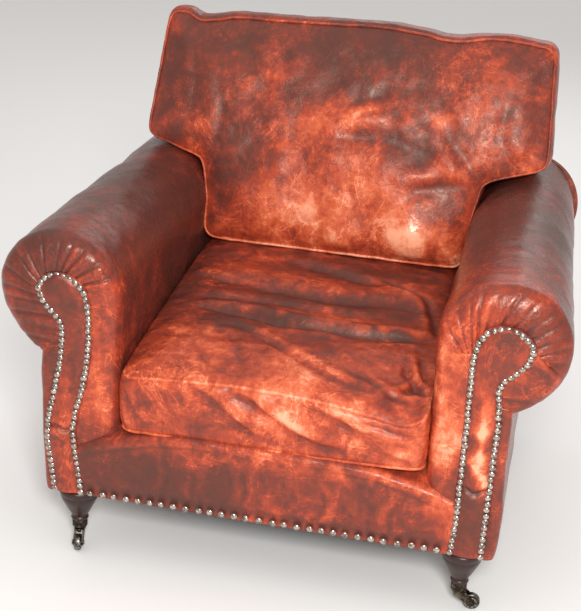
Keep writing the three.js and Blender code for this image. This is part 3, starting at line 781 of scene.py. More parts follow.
def side_panel(side, sign):
    """Outer side of an arm: one leather panel whose front edge turns in under the nails."""
    rows, turn, run = 60, 26, 90
    outer = curve(NAIL_LINE[side], LINE_STEPS)[OUTER_FROM:]
    outer = outer[np.argsort(outer[:, 1])]
    grid = np.zeros((rows, turn + run, 3))
    for i, z in enumerate(np.linspace(BODY_BOTTOM_Z - 0.001, SIDE_TOP_Z, rows)):
        t = np.linspace(0, math.pi / 2, 10)
        bend = np.column_stack([SIDE_X + SIDE_BEND * (np.sin(t) - 1),
                                FRONT_LEATHER_Y - 0.0015 + SIDE_BEND * (1 - np.cos(t))])
        nail_x = np.interp(z, outer[:, 1], outer[:, 0]) - 0.002
        front = resample(np.vstack([[nail_x, FRONT_LEATHER_Y - 0.001], bend]), turn)
        grid[i, :turn, :2] = front
        grid[i, turn:, 0] = SIDE_X
        grid[i, turn:, 1] = np.linspace(front[-1, 1], raked(PANEL_FRONT_Y, z), run + 1)[1:]
        grid[i, :, 2] = z
    flat = (grid * (sign, 1, 1)).reshape(-1, 3)
    height = (0.0030 * fbm(flat, 0.13, 41, 2) + 0.0009 * fbm(flat, 0.035, 43, 2)).reshape(rows, -1)
    across = np.minimum(np.arange(rows), np.arange(rows)[::-1])[:, None] / rows
    height += 0.006 * (1 - np.exp(-across / 0.08)) - 0.003
    height *= smoothstep(2, 14, np.arange(turn + run))[None, :]
    grid = lifted(grid, height, (1, 0, 0)) * (sign, 1, 1)
    obj = leather_sheet(f"side_cover_{side}", grid, (sign, 0, 0), 0.004)
    upholster(obj, LEATHER_ARM, f"side_panel_{side}", -0.02, on_side(SIDE_PATCHES, sign))


for side, sign in SIDES:
    arm_cover(side, sign)
    facing(side, sign)
    side_panel(side, sign)


# ------------------------------------------------------------------ cushions
def inside(points, outline):
    """Which points lie inside a closed outline."""
    crossing = np.zeros(len(points), bool)
    for p, q in zip(outline, np.roll(outline, -1, axis=0)):
        if p[1] != q[1]:
            spans = (p[1] > points[:, 1]) != (q[1] > points[:, 1])
            x = (q[0] - p[0]) * (points[:, 1] - p[1]) / (q[1] - p[1]) + p[0]
            crossing ^= spans & (points[:, 0] < x)
    return crossing


def panel_cells(outline, cell):
    """A flat panel of square cells inside a closed outline, its rim moved onto the outline.
    Returns the points, the quads and the rim's vertices in order."""
    low, high = outline.min(0) - cell, outline.max(0) + cell
    nx, ny = (np.ceil((high - low) / cell)).astype(int)
    gx, gy = np.meshgrid(low[0] + cell * np.arange(nx + 1), low[1] + cell * np.arange(ny + 1),
                         indexing="ij")
    points = np.column_stack([gx.ravel(), gy.ravel()])
    centres = points.reshape(nx + 1, ny + 1, 2)[:-1, :-1].reshape(-1, 2) + cell / 2
    keep = np.flatnonzero(inside(centres, outline))
    i, j = keep // ny, keep % ny
    quads = np.stack([(i + a) * (ny + 1) + j + b for a, b in ((0, 0), (1, 0), (1, 1), (0, 1))],
                     axis=1)
    used, quads = np.unique(quads, return_inverse=True)
    quads = quads.reshape(-1, 4)
    points = points[used]
    edges = dict.fromkeys((int(p), int(q)) for quad in quads
                          for p, q in zip(quad, np.roll(quad, -1)))
    following = {p: q for p, q in edges if (q, p) not in edges}
    first = next(iter(following))
    rim, here = [first], following[first]
    while here != first:
        rim.append(here)
        here = following[here]
    rim = np.array(rim)
    # Each vertex of the rim moves to the nearest place on the outline, and the rest relax.
    fine = resample(outline, 6000, closed=True)
    points[rim] = fine[[np.argmin(((fine - points[r]) ** 2).sum(1)) for r in rim]]
    free = np.ones((len(points), 1), bool)
    free[rim] = False
    pairs = np.unique(np.sort(np.concatenate([quads[:, [k, (k + 1) % 4]] for k in range(4)]),
                              axis=1), axis=0)
    degree = np.bincount(pairs.ravel(), minlength=len(points))[:, None]
    for _ in range(12):
        total = np.zeros_like(points)
        np.add.at(total, pairs[:, 0], points[pairs[:, 1]])
        np.add.at(total, pairs[:, 1], points[pairs[:, 0]])
        points = np.where(free, 0.5 * points + 0.5 * total / degree, points)
    return points, quads, rim


def boxed_cushion(name, outline, cell, front, back, rings, bulge):
    """A closed cushion: two panels with one outline and a boxing strip between their rims.
    front and back turn panel points into 3-D; bulge is how far the boxing stands out.
    Returns the object, the front's flat points and the rim. The front's vertices come first, the
    back's are in the same order after them, and the boxing's are last."""
    flat, quads, rim = panel_cells(outline, cell)
    a, b = front(flat), back(flat)
    n, m = len(flat), len(rim)
    out = np.roll(flat[rim], -1, axis=0) - np.roll(flat[rim], 1, axis=0)
    out = np.column_stack([out[:, 1], -out[:, 0]])
    out /= np.linalg.norm(out, axis=1)[:, None]
    lift = front(flat[rim] + out * 1e-3) - a[rim]
    lift /= np.linalg.norm(lift, axis=1)[:, None]
    verts = [a, b]
    for t in np.arange(1, rings) / rings:
        verts.append(a[rim] * (1 - t) + b[rim] * t + lift * bulge * (1 - (2 * t - 1) ** 4))
    loops = [rim] + [2 * n + k * m + np.arange(m) for k in range(rings - 1)] + [n + rim]
    boxing = np.concatenate(loops)[grid_faces(rings + 1, m, wrap=True)]
    obj = mesh_object(name, np.concatenate(verts), [*quads, *(n + quads[:, ::-1]), *boxing])
    close_up(obj)
    return obj, flat, rim


def stuff(obj, held, pressure, spare, cap, bending, frames=26):
    """Cloth simulation of a stuffed case: spare leather buckles into wrinkles as the filling
    presses out. held is how firmly each vertex stays; cap is the furthest one may move."""
    start = coords(obj)
    group = obj.vertex_groups.new(name="held")
    for level in np.unique(held[held > 0]):
        group.add(np.flatnonzero(held == level).tolist(), float(level), "REPLACE")
    modifier = obj.modifiers.new("case", "CLOTH")
    settings = dict(quality=7, mass=0.45, tension_stiffness=22, compression_stiffness=22,
                    shear_stiffness=9, bending_stiffness=bending, tension_damping=12,
                    compression_damping=12, use_pressure=True, uniform_pressure_force=pressure,
                    shrink_min=-spare, vertex_group_mass="held", pin_stiffness=1.0)
    for key, value in settings.items():
        setattr(modifier.settings, key, value)
    modifier.settings.effector_weights.gravity = 0
    modifier.collision_settings.use_collision = False
    modifier.collision_settings.use_self_collision = False
    modifier.point_cache.frame_start = 1
    modifier.point_cache.frame_end = frames
    for step in range(1, frames + 1):
        bpy.context.scene.frame_set(step)
    evaluated = obj.evaluated_get(bpy.context.evaluated_depsgraph_get())
    shift = np.nan_to_num(coords(evaluated) - start)
    obj.modifiers.clear()
    obj.vertex_groups.clear()
    bpy.context.scene.frame_set(1)
    length = np.linalg.norm(shift, axis=1)[:, None]
    set_coords(obj, start + shift * np.minimum(1, cap / np.maximum(length, 1e-9)))


def piping(name, cushion, rim, radius, tone=0.16, patches=()):
    """Thin piping along a cushion's seam."""
    path = coords(cushion)[rim] + normals(cushion)[rim] * 0.0015
    for _ in range(3):
        path = 0.5 * path + 0.25 * (np.roll(path, 1, axis=0) + np.roll(path, -1, axis=0))
    path = resample(path, 700, closed=True)
    path = path + radius * 0.25 * np.column_stack([noise(path, 0.02, k) for k in (1, 2, 3)])
    sewn(tube(name, path, radius, closed=True), cushion, tone, patches)


def sewn(cord, cushion, tone, patches=()):
    """Piping goes with its cushion."""
    paint(cord, tone, patches, relief=0.0006, rounds=4)
    cord.data.materials.append(LEATHER)
    bpy.context.view_layer.update()
    cord.parent = cushion
    cord.matrix_parent_inverse = cushion.matrix_world.inverted()


def wrinkle(obj, depth, size, stretch, seed):
    """Fine creases: thin valleys where a stretched noise crosses zero, and a soft swell."""
    co = coords(obj)
    line = np.abs(fbm(co * stretch, size, seed, 3))
    where = smoothstep(-0.15, 0.35, noise(co, 0.12, seed + 9))
    swell = 0.4 * fbm(co, size * 0.6, seed + 4, 2)
    displace(obj, depth * (swell - np.exp(-line / 0.06) * where))


# Seat cushion: (x, z) of its front top seam and front bottom seam, sagging to the right.
SEAT_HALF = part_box("seat_cushion")[1].x - 0.0015
SEAT_FRONT_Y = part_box("seat_cushion")[0].y + 0.006
SEAT_REAR_Y = raked(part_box("inside_back")[0].y - raked(0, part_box("inside_back")[0].z), 0.36)
SEAT_REAR_Z = 0.446
SEAT_CELL = 0.0072
TOP_SEAM = [(-0.285, 0.386), (-0.22, 0.393), (-0.13, 0.399), (-0.05, 0.402), (0.05, 0.399),
            (0.12, 0.393), (0.18, 0.384), (0.235, 0.374), (0.262, 0.377), (0.285, 0.396)]
BOTTOM_SEAM = [(-0.285, 0.279), (-0.15, 0.2795), (0.10, 0.283), (0.285, 0.290)]
# Creases of the seat's top: the line in (x, y), depth, width and the lip's share.
SEAT_FOLDS = (
    ([(-0.21, -0.19), (-0.10, -0.205), (-0.02, -0.222), (0.05, -0.220), (0.13, -0.222),
      (0.21, -0.20), (0.275, -0.185)], 0.016, 0.011, 0.75),
    ([(-0.12, -0.245), (-0.03, -0.30), (0.035, -0.345), (0.11, -0.385), (0.20, -0.395)],
     0.007, 0.008, 0.6),
    ([(-0.26, -0.06), (-0.12, -0.075), (0.02, -0.10), (0.14, -0.085), (0.25, -0.10)],
     0.009, 0.022, 0.7),
    ([(-0.10, 0.055), (0.0, 0.03), (0.09, 0.0), (0.16, -0.01)], 0.007, 0.014, 0.8),
    ([(0.12, 0.02), (0.18, -0.012), (0.225, -0.045), (0.25, -0.11), (0.262, -0.17)],
     0.008, 0.008, -0.9),
    ([(-0.24, -0.15), (-0.10, -0.15), (0.04, -0.155), (0.16, -0.145)], 0.005, 0.012, 0.7),
    ([(0.225, -0.29), (0.245, -0.34), (0.272, -0.375)], 0.011, 0.007, 0.9),
    ([(0.245, -0.25), (0.255, -0.30), (0.265, -0.345)], 0.009, 0.006, -0.9),
    ([(0.16, -0.36), (0.20, -0.385), (0.24, -0.395), (0.27, -0.390)], 0.006, 0.006, 0.8),
    ([(0.20, -0.40), (0.24, -0.37), (0.258, -0.33)], 0.006, 0.006, 0.7),
    ([(-0.26, -0.30), (-0.20, -0.32), (-0.14, -0.37)], 0.004, 0.010, 0.5),
    ([(-0.15, -0.27), (-0.09, -0.33), (-0.06, -0.40)], 0.004, 0.008, 0.5),
)
# Folds of the front boxing: the line in (x, z), depth, width and the lip's share.
BOXING_FOLDS = (
    ([(-0.08, 0.398), (-0.03, 0.372), (0.02, 0.338), (0.08, 0.312), (0.15, 0.302)],
     0.010, 0.010, 0.8),
    ([(-0.14, 0.392), (-0.10, 0.362), (-0.06, 0.330), (-0.01, 0.302)], 0.007, 0.009, 0.8),
    ([(0.05, 0.392), (0.11, 0.370), (0.17, 0.347), (0.235, 0.322)], 0.008, 0.007, 0.8),
    ([(0.12, 0.387), (0.17, 0.371), (0.22, 0.360), (0.27, 0.357)], 0.004, 0.0045, 0.8),
    ([(0.10, 0.385), (0.16, 0.362), (0.21, 0.343), (0.265, 0.330)], 0.004, 0.005, 0.8),
    ([(0.14, 0.350), (0.19, 0.325), (0.235, 0.305), (0.27, 0.299)], 0.006, 0.008, 0.8),
    ([(-0.275, 0.365), (-0.262, 0.335), (-0.24, 0.300)], 0.005, 0.007, 0.7),
    ([(-0.21, 0.385), (-0.19, 0.350), (-0.165, 0.310)], 0.003, 0.008, 0.7),
)


def seat_cushion():
    """Returns the cushion, its top rim and how many vertices later the bottom rim comes."""
    outline = rounded([(-SEAT_HALF, SEAT_FRONT_Y), (SEAT_HALF + 0.004, SEAT_FRONT_Y),
                       (SEAT_HALF - 0.002, SEAT_REAR_Y), (-SEAT_HALF + 0.003, SEAT_REAR_Y)],
                      (0.028, 0.020, 0.03, 0.03))

    def top(p):
        seam = curve(TOP_SEAM, 80)
        front = np.interp(p[:, 0], seam[:, 0], seam[:, 1])
        t = np.clip((p[:, 1] - SEAT_FRONT_Y) / 0.50, 0, 1) ** 0.62
        crown = 0.017 * (1 - np.exp(-rim_distance(p, outline) / 0.035))
        return np.column_stack([p, front + (SEAT_REAR_Z - front) * t + crown])

    def bottom(p):
        seam = curve(BOTTOM_SEAM, 60)
        low = DECK_TOP_Z + 0.001
        raised = (np.interp(p[:, 0], seam[:, 0], seam[:, 1]) - low) * smoothstep(
            SEAT_FRONT_Y + 0.10, SEAT_FRONT_Y, p[:, 1])
        return np.column_stack([p, low + np.maximum(raised, 0)])

    obj, flat, rim = boxed_cushion("seat_cushion_case", outline, SEAT_CELL, top, bottom, 15, 0.006)
    co, n = coords(obj), len(flat)
    boxing = np.arange(len(co)) >= 2 * n
    height = np.zeros(len(co))
    height[:n] = (folds(flat, SEAT_FOLDS)
                  + 0.0045 * fbm(np.column_stack([flat * (0.45, 1.0), np.zeros(n)]), 0.062, 51, 3)
                  ) * smoothstep(0.0, 0.022, rim_distance(flat, outline))
    box = boxing & (co[:, 1] < SEAT_FRONT_Y + 0.03)
    height[box] = (folds(co[box][:, [0, 2]], BOXING_FOLDS)
                   + 0.0022 * fbm(co[box] * (0.6, 1, 1.3), 0.05, 55, 3))
    height[rim] -= 0.0022
    displace(obj, height)
    co = coords(obj)
    held = np.zeros(len(co))
    held[rim] = 0.97
    held[n:2 * n] = 1
    held[boxing & (np.abs(co[:, 0]) > SEAT_HALF - 0.004) | (co[:, 1] > 0.16)] = 1
    stuff(obj, held, pressure=2.2, spare=0.035, cap=0.016, bending=3.0)
    subdivide(obj)
    wrinkle(obj, 0.0011, 0.026, (0.5, 1.0, 1.0), 61)
    return obj, rim, n


SEAT_PATCHES = (
    # the first four dark patches lie along the top's creases and are partly painted shade in those
    # creases, partly darker worn leather
    (-0.02, -0.115, 0.46, 0.034, -0.44, 3.4, 1.0, 2),
    (0.13, -0.10, 0.46, 0.038, -0.36, 1.8, 1.0, 2),
    (-0.04, -0.205, 0.45, 0.013, -0.50, 5.0, 1.0, 3),
    (0.17, -0.205, 0.45, 0.011, -0.46, 6.0, 1.0, 3),
    (-0.14, -0.24, 0.44, 0.040, -0.34, 1.6, 1.0, 2), (0.02, 0.02, 0.47, 0.030, -0.30, 3.4, 1.0, 2),
    (0.10, 0.055, 0.47, 0.045, -0.16, 2.5, 1.0, 2), (-0.26, -0.10, 0.44, 0.050, -0.26, 1.0, 2.6, 2),
    (0.16, -0.005, 0.46, 0.035, 0.12, 2.0, 1.0, 2), (0.10, -0.165, 0.45, 0.022, 0.16, 3.6, 1.0, 2),
    (-0.12, -0.02, 0.46, 0.050, 0.04, 2.0, 1.0, 2),
    (-0.17, -0.33, 0.42, 0.070, 0.17, 1.3, 1.0, 1.5),
    (0.02, -0.38, 0.41, 0.060, 0.18, 2.4, 1.0, 1.5),
    (0.18, -0.31, 0.42, 0.060, 0.15, 1.3, 1.0, 1.5),
    (0.03, -0.29, 0.42, 0.045, -0.05, 1.8, 1.0, 1.5),
    (0.13, -0.385, 0.41, 0.022, -0.20, 2.4, 1.0, 1.5),
    (-0.20, -0.44, 0.33, 0.050, 0.08, 1.8, 1.0, 1.0),
    (-0.23, -0.44, 0.35, 0.022, -0.20, 1.3, 1.0, 1.0),
    (-0.03, -0.44, 0.33, 0.020, -0.22, 1.6, 1.0, 0.8),
    (0.04, -0.44, 0.35, 0.045, 0.26, 2.2, 1.0, 0.8),
    (0.20, -0.44, 0.33, 0.050, 0.20, 1.6, 1.0, 0.9),
    (0.14, -0.44, 0.352, 0.016, -0.10, 2.2, 1.0, 0.7), (0.0, 0.10, 0.47, 0.06, -0.06, 3.0, 0.6, 1),
)

seat, rim, count = seat_cushion()
tone = upholster(seat, LEATHER, "seat_cushion", 0.02, SEAT_PATCHES, relief=0.0013)
# a light line along the front seams: partly rubbed wear, partly a painted highlight on the seam
# edge
seam = resample(coords(seat)[rim], 900, closed=True)
seam = seam[seam[:, 1] < SEAT_FRONT_Y + 0.10]
store(seat, "tone", tone + 0.26 * seam_wear_and_highlight(seat, seam, 0.0020))
piping("seat_piping_bottom", seat, count + rim, 0.0032)

# Back cushion: a T whose ears lie over the arms. Outline in (x, z) at the boxing seams.
EAR_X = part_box("back_cushion")[1].x
CUSHION_LOW_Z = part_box("back_cushion")[0].z + 0.002
CUSHION_TOP_Z = 0.910
CUSHION_CELL = 0.0086
TOP_WAVE = [(-0.43, 0.0), (-0.400, 0.006), (-0.375, 0.000), (-0.341, -0.015), (-0.26, -0.002),
            (-0.17, 0.0), (-0.05, 0.004), (0.05, 0.007), (0.137, 0.002), (0.18, -0.005),
            (0.225, -0.004), (0.273, 0.005), (0.324, 0.007), (0.40, 0.0), (0.43, 0.0)]
# (z, y) of the front and of the rear panel along the rim.
FRONT_RIM = [(0.460, 0.118), (0.560, 0.140), (0.640, 0.163), (0.680, 0.180), (0.790, 0.228),
             (0.870, 0.262), (0.925, 0.288)]
BACK_RIM = [(0.460, 0.275), (0.560, 0.292), (0.700, 0.316), (0.820, 0.334), (0.880, 0.338),
            (0.925, 0.330)]
# Creases of the front panel: the line in (x, z), depth, width and the lip's share.
BACK_FOLDS = (
    ([(-0.285, 0.635), (-0.270, 0.690), (-0.265, 0.745), (-0.28, 0.80)], 0.004, 0.014, 0.8),
    ([(0.290, 0.650), (0.255, 0.690), (0.225, 0.725), (0.215, 0.760)], 0.005, 0.013, 0.8),
    ([(0.290, 0.640), (0.235, 0.640), (0.180, 0.625), (0.14, 0.600)], 0.004, 0.014, -0.8),
    ([(-0.05, 0.700), (0.05, 0.715), (0.14, 0.705), (0.21, 0.690)], 0.006, 0.020, 0.6),
    ([(-0.20, 0.680), (-0.12, 0.700), (-0.02, 0.690)], 0.005, 0.018, 0.6),
    ([(-0.02, 0.760), (0.04, 0.785), (0.09, 0.800)], 0.005, 0.015, -0.6),
    ([(0.00, 0.520), (0.06, 0.560), (0.10, 0.610)], 0.005, 0.020, 0.6),
    ([(-0.10, 0.500), (-0.04, 0.540), (0.0, 0.590)], 0.004, 0.016, 0.6),
    ([(-0.36, 0.690), (-0.33, 0.760), (-0.34, 0.84)], 0.004, 0.016, 0.6),
    ([(0.34, 0.700), (0.33, 0.780), (0.35, 0.86)], 0.004, 0.016, -0.6),
)
# Places where the back's filling bulges: x, z, reach and rise.
BACK_BULGES = ((0.165, 0.506, 0.060, 0.024), (0.12, 0.655, 0.055, 0.006),
               (-0.02, 0.68, 0.05, 0.006), (-0.13, 0.55, 0.07, 0.006), (0.02, 0.50, 0.05, 0.007))


def back_cushion():
    """Returns the cushion, its front rim and how many vertices later the rear rim comes."""
    half = ARM_INNER_X - 0.0045
    corners = [(-half, CUSHION_LOW_Z), (half - 0.004, CUSHION_LOW_Z - 0.001), (half, 0.56),
               (0.300, 0.645), (0.424, 0.683), (EAR_X - 0.003, 0.70), (0.413, CUSHION_TOP_Z),
               (-0.412, CUSHION_TOP_Z), (-EAR_X + 0.003, 0.69), (-0.424, 0.668),
               (-0.299, 0.632), (-half, 0.56)]
    outline = rounded(corners, (0.030, 0.028, 0.05, 0.022, 0.022, 0.03, 0.022, 0.022, 0.03,
                                0.024, 0.022, 0.05))
    wave = curve(TOP_WAVE, 200)

    def waved(low, high):
        x, z = outline.T
        return np.interp(x, wave[:, 0], wave[:, 1]) * smoothstep(low, high, z)

    outline[:, 1] += waved(0.86, 0.905)
    outline = resample(outline, 900, closed=True)
    outline[:, 1] += (waved(CUSHION_TOP_Z - 0.02, CUSHION_TOP_Z - 0.003)
                      * (np.abs(outline[:, 0]) < 0.37))
    front_rim, back_rim = curve(FRONT_RIM, 80), curve(BACK_RIM, 80)

    def front(p):
        y = np.interp(p[:, 1], front_rim[:, 0], front_rim[:, 1])
        crown = 1 - np.exp(-rim_distance(p, outline) / 0.050)
        return np.column_stack([p[:, 0], y - 0.034 * crown,
                                p[:, 1] + 0.012 * crown * smoothstep(0.86, 0.93, p[:, 1])])

    def back(p):
        y = np.interp(p[:, 1], back_rim[:, 0], back_rim[:, 1])
        crown = 0.014 * (1 - np.exp(-rim_distance(p, outline) / 0.04))
        return np.column_stack([p[:, 0], y + crown, p[:, 1]])

    obj, flat, rim = boxed_cushion("back_cushion_case", outline, CUSHION_CELL, front, back,
                                   14, 0.009)
    co, n = coords(obj), len(flat)
    boxing = np.arange(len(co)) >= 2 * n
    height = np.zeros(len(co))
    height[:n] = folds(flat, BACK_FOLDS) + 0.0055 * fbm(np.column_stack([flat, np.zeros(n)]),
                                                        0.11, 71, 3)
    for x, z, reach, rise in BACK_BULGES:
        height[:n] += rise * np.exp(-(np.hypot(flat[:, 0] - x, flat[:, 1] - z) / reach) ** 2)
    height[:n] *= smoothstep(0.0, 0.03, rim_distance(flat, outline))
    height[boxing] = 0.002 * fbm(co[boxing], 0.05, 75, 2)
    displace(obj, height)
    co = coords(obj)
    held = np.zeros(len(co))
    held[rim] = 0.97
    held[n:2 * n] = 1
    held[boxing & ((co[:, 2] < 0.64) | (np.abs(co[:, 0]) > ARM_INNER_X) & (co[:, 2] < 0.70))] = 1
    stuff(obj, held, pressure=2.0, spare=0.030, cap=0.018, bending=4.0)
    subdivide(obj)
    wrinkle(obj, 0.0008, 0.040, (1.0, 1.0, 1.0), 81)
    return obj, rim, n


# The small bright patch at x 0.170, z 0.535 and those at (0.03, 0.765), (0.20, 0.755) and (0.22,
# 0.660) are painted highlights; the broad bright one at (0.18, 0.53) is partly painted highlight
# and partly lighter leather.
BACK_PATCHES = (
    (0.0, 0.20, 0.84, 0.075, -0.09, 6, 2, 1), (0.0, 0.12, 0.54, 0.085, 0.12, 2.4, 2, 1),
    (0.170, 0.12, 0.535, 0.032, 0.30, 1.0, 2, 1.1), (-0.35, 0.20, 0.78, 0.10, -0.20, 1, 2, 1.6),
    (0.36, 0.20, 0.78, 0.05, -0.20, 1, 3, 2.4), (0.0, 0.25, 0.90, 0.045, -0.26, 8, 2, 1),
    (-0.16, 0.20, 0.83, 0.045, 0.16, 1.6, 2, 1.0), (-0.02, 0.20, 0.80, 0.050, -0.06, 1.4, 2, 1.0),
    (0.03, 0.20, 0.765, 0.030, 0.20, 2.2, 2, 0.7), (0.20, 0.20, 0.755, 0.026, 0.20, 1.8, 2, 0.7),
    (0.22, 0.16, 0.660, 0.020, 0.26, 2.2, 2, 0.8), (0.16, 0.20, 0.84, 0.070, -0.10, 1.4, 2, 1.0),
    (0.30, 0.20, 0.83, 0.060, 0.08, 1.2, 2, 1.0), (0.12, 0.14, 0.705, 0.035, -0.20, 2.6, 2, 1.0),
    (0.0, 0.14, 0.74, 0.050, 0.14, 1.8, 2, 0.7), (-0.25, 0.12, 0.60, 0.040, -0.24, 1.0, 2, 1.8),
    (-0.12, 0.12, 0.55, 0.090, 0.20, 1.4, 2, 1.0), (0.03, 0.12, 0.62, 0.060, 0.16, 1.6, 2, 1.0),
    (0.18, 0.12, 0.53, 0.080, 0.30, 1.0, 2, 1.0), (0.20, 0.12, 0.60, 0.035, -0.16, 1.4, 2, 1.4),
    (0.0, 0.12, 0.475, 0.022, -0.06, 9, 3, 1), (0.33, 0.16, 0.70, 0.040, 0.16, 1.6, 2, 1.2),
    (-0.34, 0.16, 0.70, 0.035, 0.14, 1.6, 2, 0.9), (-0.20, 0.15, 0.72, 0.060, -0.10, 1.8, 2, 0.8),
)
BACK_PIPING_PATCHES = ((0.0, 0.12, 0.45, 0.06, 0.40, 9, 3, 1.6),)

back, rim, count = back_cushion()
upholster(back, LEATHER, "back_cushion", 0.04, BACK_PATCHES, relief=0.0014)
piping("back_piping_front", back, rim, 0.0029, -0.04, BACK_PIPING_PATCHES)
piping("back_piping_rear", back, count + rim, 0.0029, -0.04, BACK_PIPING_PATCHES)

# ------------------------------------------------------------------ front border
BORDER_LEFT, BORDER_RIGHT = -0.378, 0.362
ARCH_HALF = 0.352                # half width that the arch of the top edge is drawn to
ARCH_DROP = 0.044                # how far the arch falls over that half width
BORDER_BEND = 0.013              # radius of the rolled top edge
BORDER_REAR_Y = -0.395           # where the leather ends on the deck
BORDER_NAIL_Z = 0.1375
BORDER_NAIL_ENDS = (-0.338, 0.340)
BORDER_FOLDS = (
    ([(-0.20, 0.150), (-0.185, 0.200), (-0.19, 0.245)], 0.0022, 0.007, 0.8),
    ([(-0.05, 0.155), (-0.035, 0.190), (-0.045, 0.235)], 0.0018, 0.007, 0.8),
    ([(0.10, 0.150), (0.115, 0.195), (0.105, 0.230)], 0.0020, 0.007, -0.8),
    ([(0.24, 0.150), (0.235, 0.185), (0.25, 0.225)], 0.0020, 0.007, 0.8),
    ([(-0.33, 0.225), (-0.20, 0.262), (-0.05, 0.270)], 0.0016, 0.005, 0.9),
    ([(0.33, 0.222), (0.20, 0.258), (0.05, 0.270)], 0.0016, 0.005, -0.9),
)
# The light band along the rolled top edge right of the middle, at x 0.12, and the bright patch at
# the arch's right end, at x 0.33, are painted highlight.
BORDER_PATCHES = (
    (0.12, -0.44, 0.262, 0.014, 0.26, 14, 1, 1), (0.12, -0.44, 0.24, 0.04, 0.10),
    (-0.12, -0.44, 0.255, 0.020, 0.10, 6, 1, 1), (-0.07, -0.44, 0.20, 0.045, -0.10),
    (-0.30, -0.44, 0.19, 0.08, -0.30, 1.5, 1, 1), (0.20, -0.44, 0.185, 0.05, 0.02),
    (0.0, -0.44, 0.15, 0.020, -0.14, 16, 1, 1), (0.33, -0.44, 0.22, 0.03, 0.30, 1, 1, 1.4),
)


def front_border():
    """The low padded band under the seat, arched along its top, with a rolled top edge."""
    columns, front, top = 210, 70, 26
    face_y = BORDER_BOX[0].y + 0.0015
    x = np.linspace(BORDER_LEFT, BORDER_RIGHT, columns)
    crest = BORDER_BOX[1].z + 0.003 - ARCH_DROP * np.abs(x / ARCH_HALF) ** 3.4
    crest += 0.0012 * noise(np.column_stack([x, 0 * x, 0 * x]), 0.09, 91)
    t = np.linspace(0, math.pi / 2, 10)
    grid = np.zeros((front + top, columns, 3))
    grid[..., 0] = x
    for k, high in enumerate(crest):
        roll = np.column_stack([face_y + BORDER_BEND * (1 - np.cos(t)),
                                high + BORDER_BEND * (np.sin(t) - 1)])
        upright = resample(np.vstack([[face_y, BODY_BOTTOM_Z - 0.001], roll]), front)
        flat = np.linspace(upright[-1, 0], BORDER_REAR_Y, top + 1)[1:]
        back = (flat - upright[-1, 0]) / (flat[-1] - upright[-1, 0])
        grid[:front, k, 1:] = upright
        grid[front:, k, 1] = flat
        grid[front:, k, 2] = high + (DECK_TOP_Z - 0.004 - high) * back
    z = grid[..., 2]
    low = smoothstep(BORDER_NAIL_Z + 0.002, BORDER_NAIL_Z + 0.03, z)
    flat = grid.reshape(-1, 3)
    height = 0.0026 * fbm(flat * (0.7, 1, 1), 0.09, 93, 3) + 0.0007 * fbm(flat, 0.025, 95, 2)
    height = (height.reshape(z.shape) + 0.005 * low) * (0.35 + 0.65 * low)
    height += folds(flat[:, [0, 2]], BORDER_FOLDS).reshape(z.shape)
    # Each nail draws the leather in.
    rng = np.random.default_rng(17)
    spots, at = [], BORDER_NAIL_ENDS[0]
    while at < BORDER_NAIL_ENDS[1]:
        spots.append((at, BORDER_NAIL_Z))
        away = np.hypot(grid[..., 0] - at, (z - BORDER_NAIL_Z) * 0.6)
        height -= 0.0022 * np.exp(-(away / 0.008) ** 2)
        at += rng.uniform(0.0215, 0.0265)
    # The ends pass under the facings.
    ends = smoothstep(0.0, 0.016, np.minimum(x - BORDER_LEFT, BORDER_RIGHT - x))[None, :]
    height = height * ends - 0.004 * (1 - ends)
    obj = leather_sheet("front_border_cover", lifted(grid, height, (0, -1, 0)), (0, -1, 0),
                        LEATHER_THICKNESS)
    upholster(obj, LEATHER, "front_border", -0.05, BORDER_PATCHES, relief=0.0008)
    nails("border_nails_made", spots, BORDER_BOX[0].y - 0.0018, 8, "border_nails")


front_border()

# ------------------------------------------------------------------ the two backs
PAD_FRONT_Y = 0.3702        # upright planes of the inside back's front and rear
PAD_REAR_Y = 0.4423
PAD_HALF = 0.283            # half its width between the arms
WING_LOW_Z = 0.655
BACK_CELL = 0.0135


def leaned(plane, crown, reach, outline):
    """Turns (x, z) points into a leaned panel, crowned away from its rim."""
    def surface(p):
        swell = crown * (1 - np.exp(-rim_distance(p, outline) / reach))
        return np.column_stack([p[:, 0], raked(plane, p[:, 1]) + swell, p[:, 1]])
    return surface


def inside_back():
    """Upholstered back proper: a rounded roll over the top with a wing above each arm."""
    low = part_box("inside_back")[0].z
    half = [(PAD_HALF, low), (PAD_HALF, WING_LOW_Z), (WING_X, WING_LOW_Z), (WING_X, BACK_TOP_Z)]
    outline = rounded([(-PAD_HALF, low)] + half + [(-x, z) for x, z in half[:0:-1]],
                      (0.01, 0.01, 0.012, 0.012, 0.036, 0.036, 0.012, 0.012))
    obj, *_ = boxed_cushion("inside_back_cover", outline, BACK_CELL,
                            leaned(PAD_FRONT_Y, -0.008, 0.02, outline),
                            leaned(PAD_REAR_Y, 0.003, 0.02, outline), 11, 0.004)
    displace(obj, 0.0018 * fbm(coords(obj), 0.08, 97, 3))
    subdivide(obj)
    upholster(obj, LEATHER_ARM, "inside_back", -0.02,
              [(0.0, 0.40, 0.865, 0.03, 0.10, 14, 2, 1)])


# Gathers up from the outside back's lower edge.
OUTSIDE_FOLDS = [([(x, 0.14), (x + 0.012, 0.20), (x + 0.004, 0.27)], 0.0022, 0.009, 0.7)
                 for x in (-0.30, -0.17, 0.04, 0.21, 0.33)]
OUTSIDE_PATCHES = ((0.0, 0.40, 0.80, 0.16, 0.08, 1.6, 1, 1), (-0.25, 0.35, 0.35, 0.12, -0.10),
                   (0.25, 0.35, 0.50, 0.14, -0.08), (0.0, 0.35, 0.16, 0.05, 0.10, 7, 1, 1))


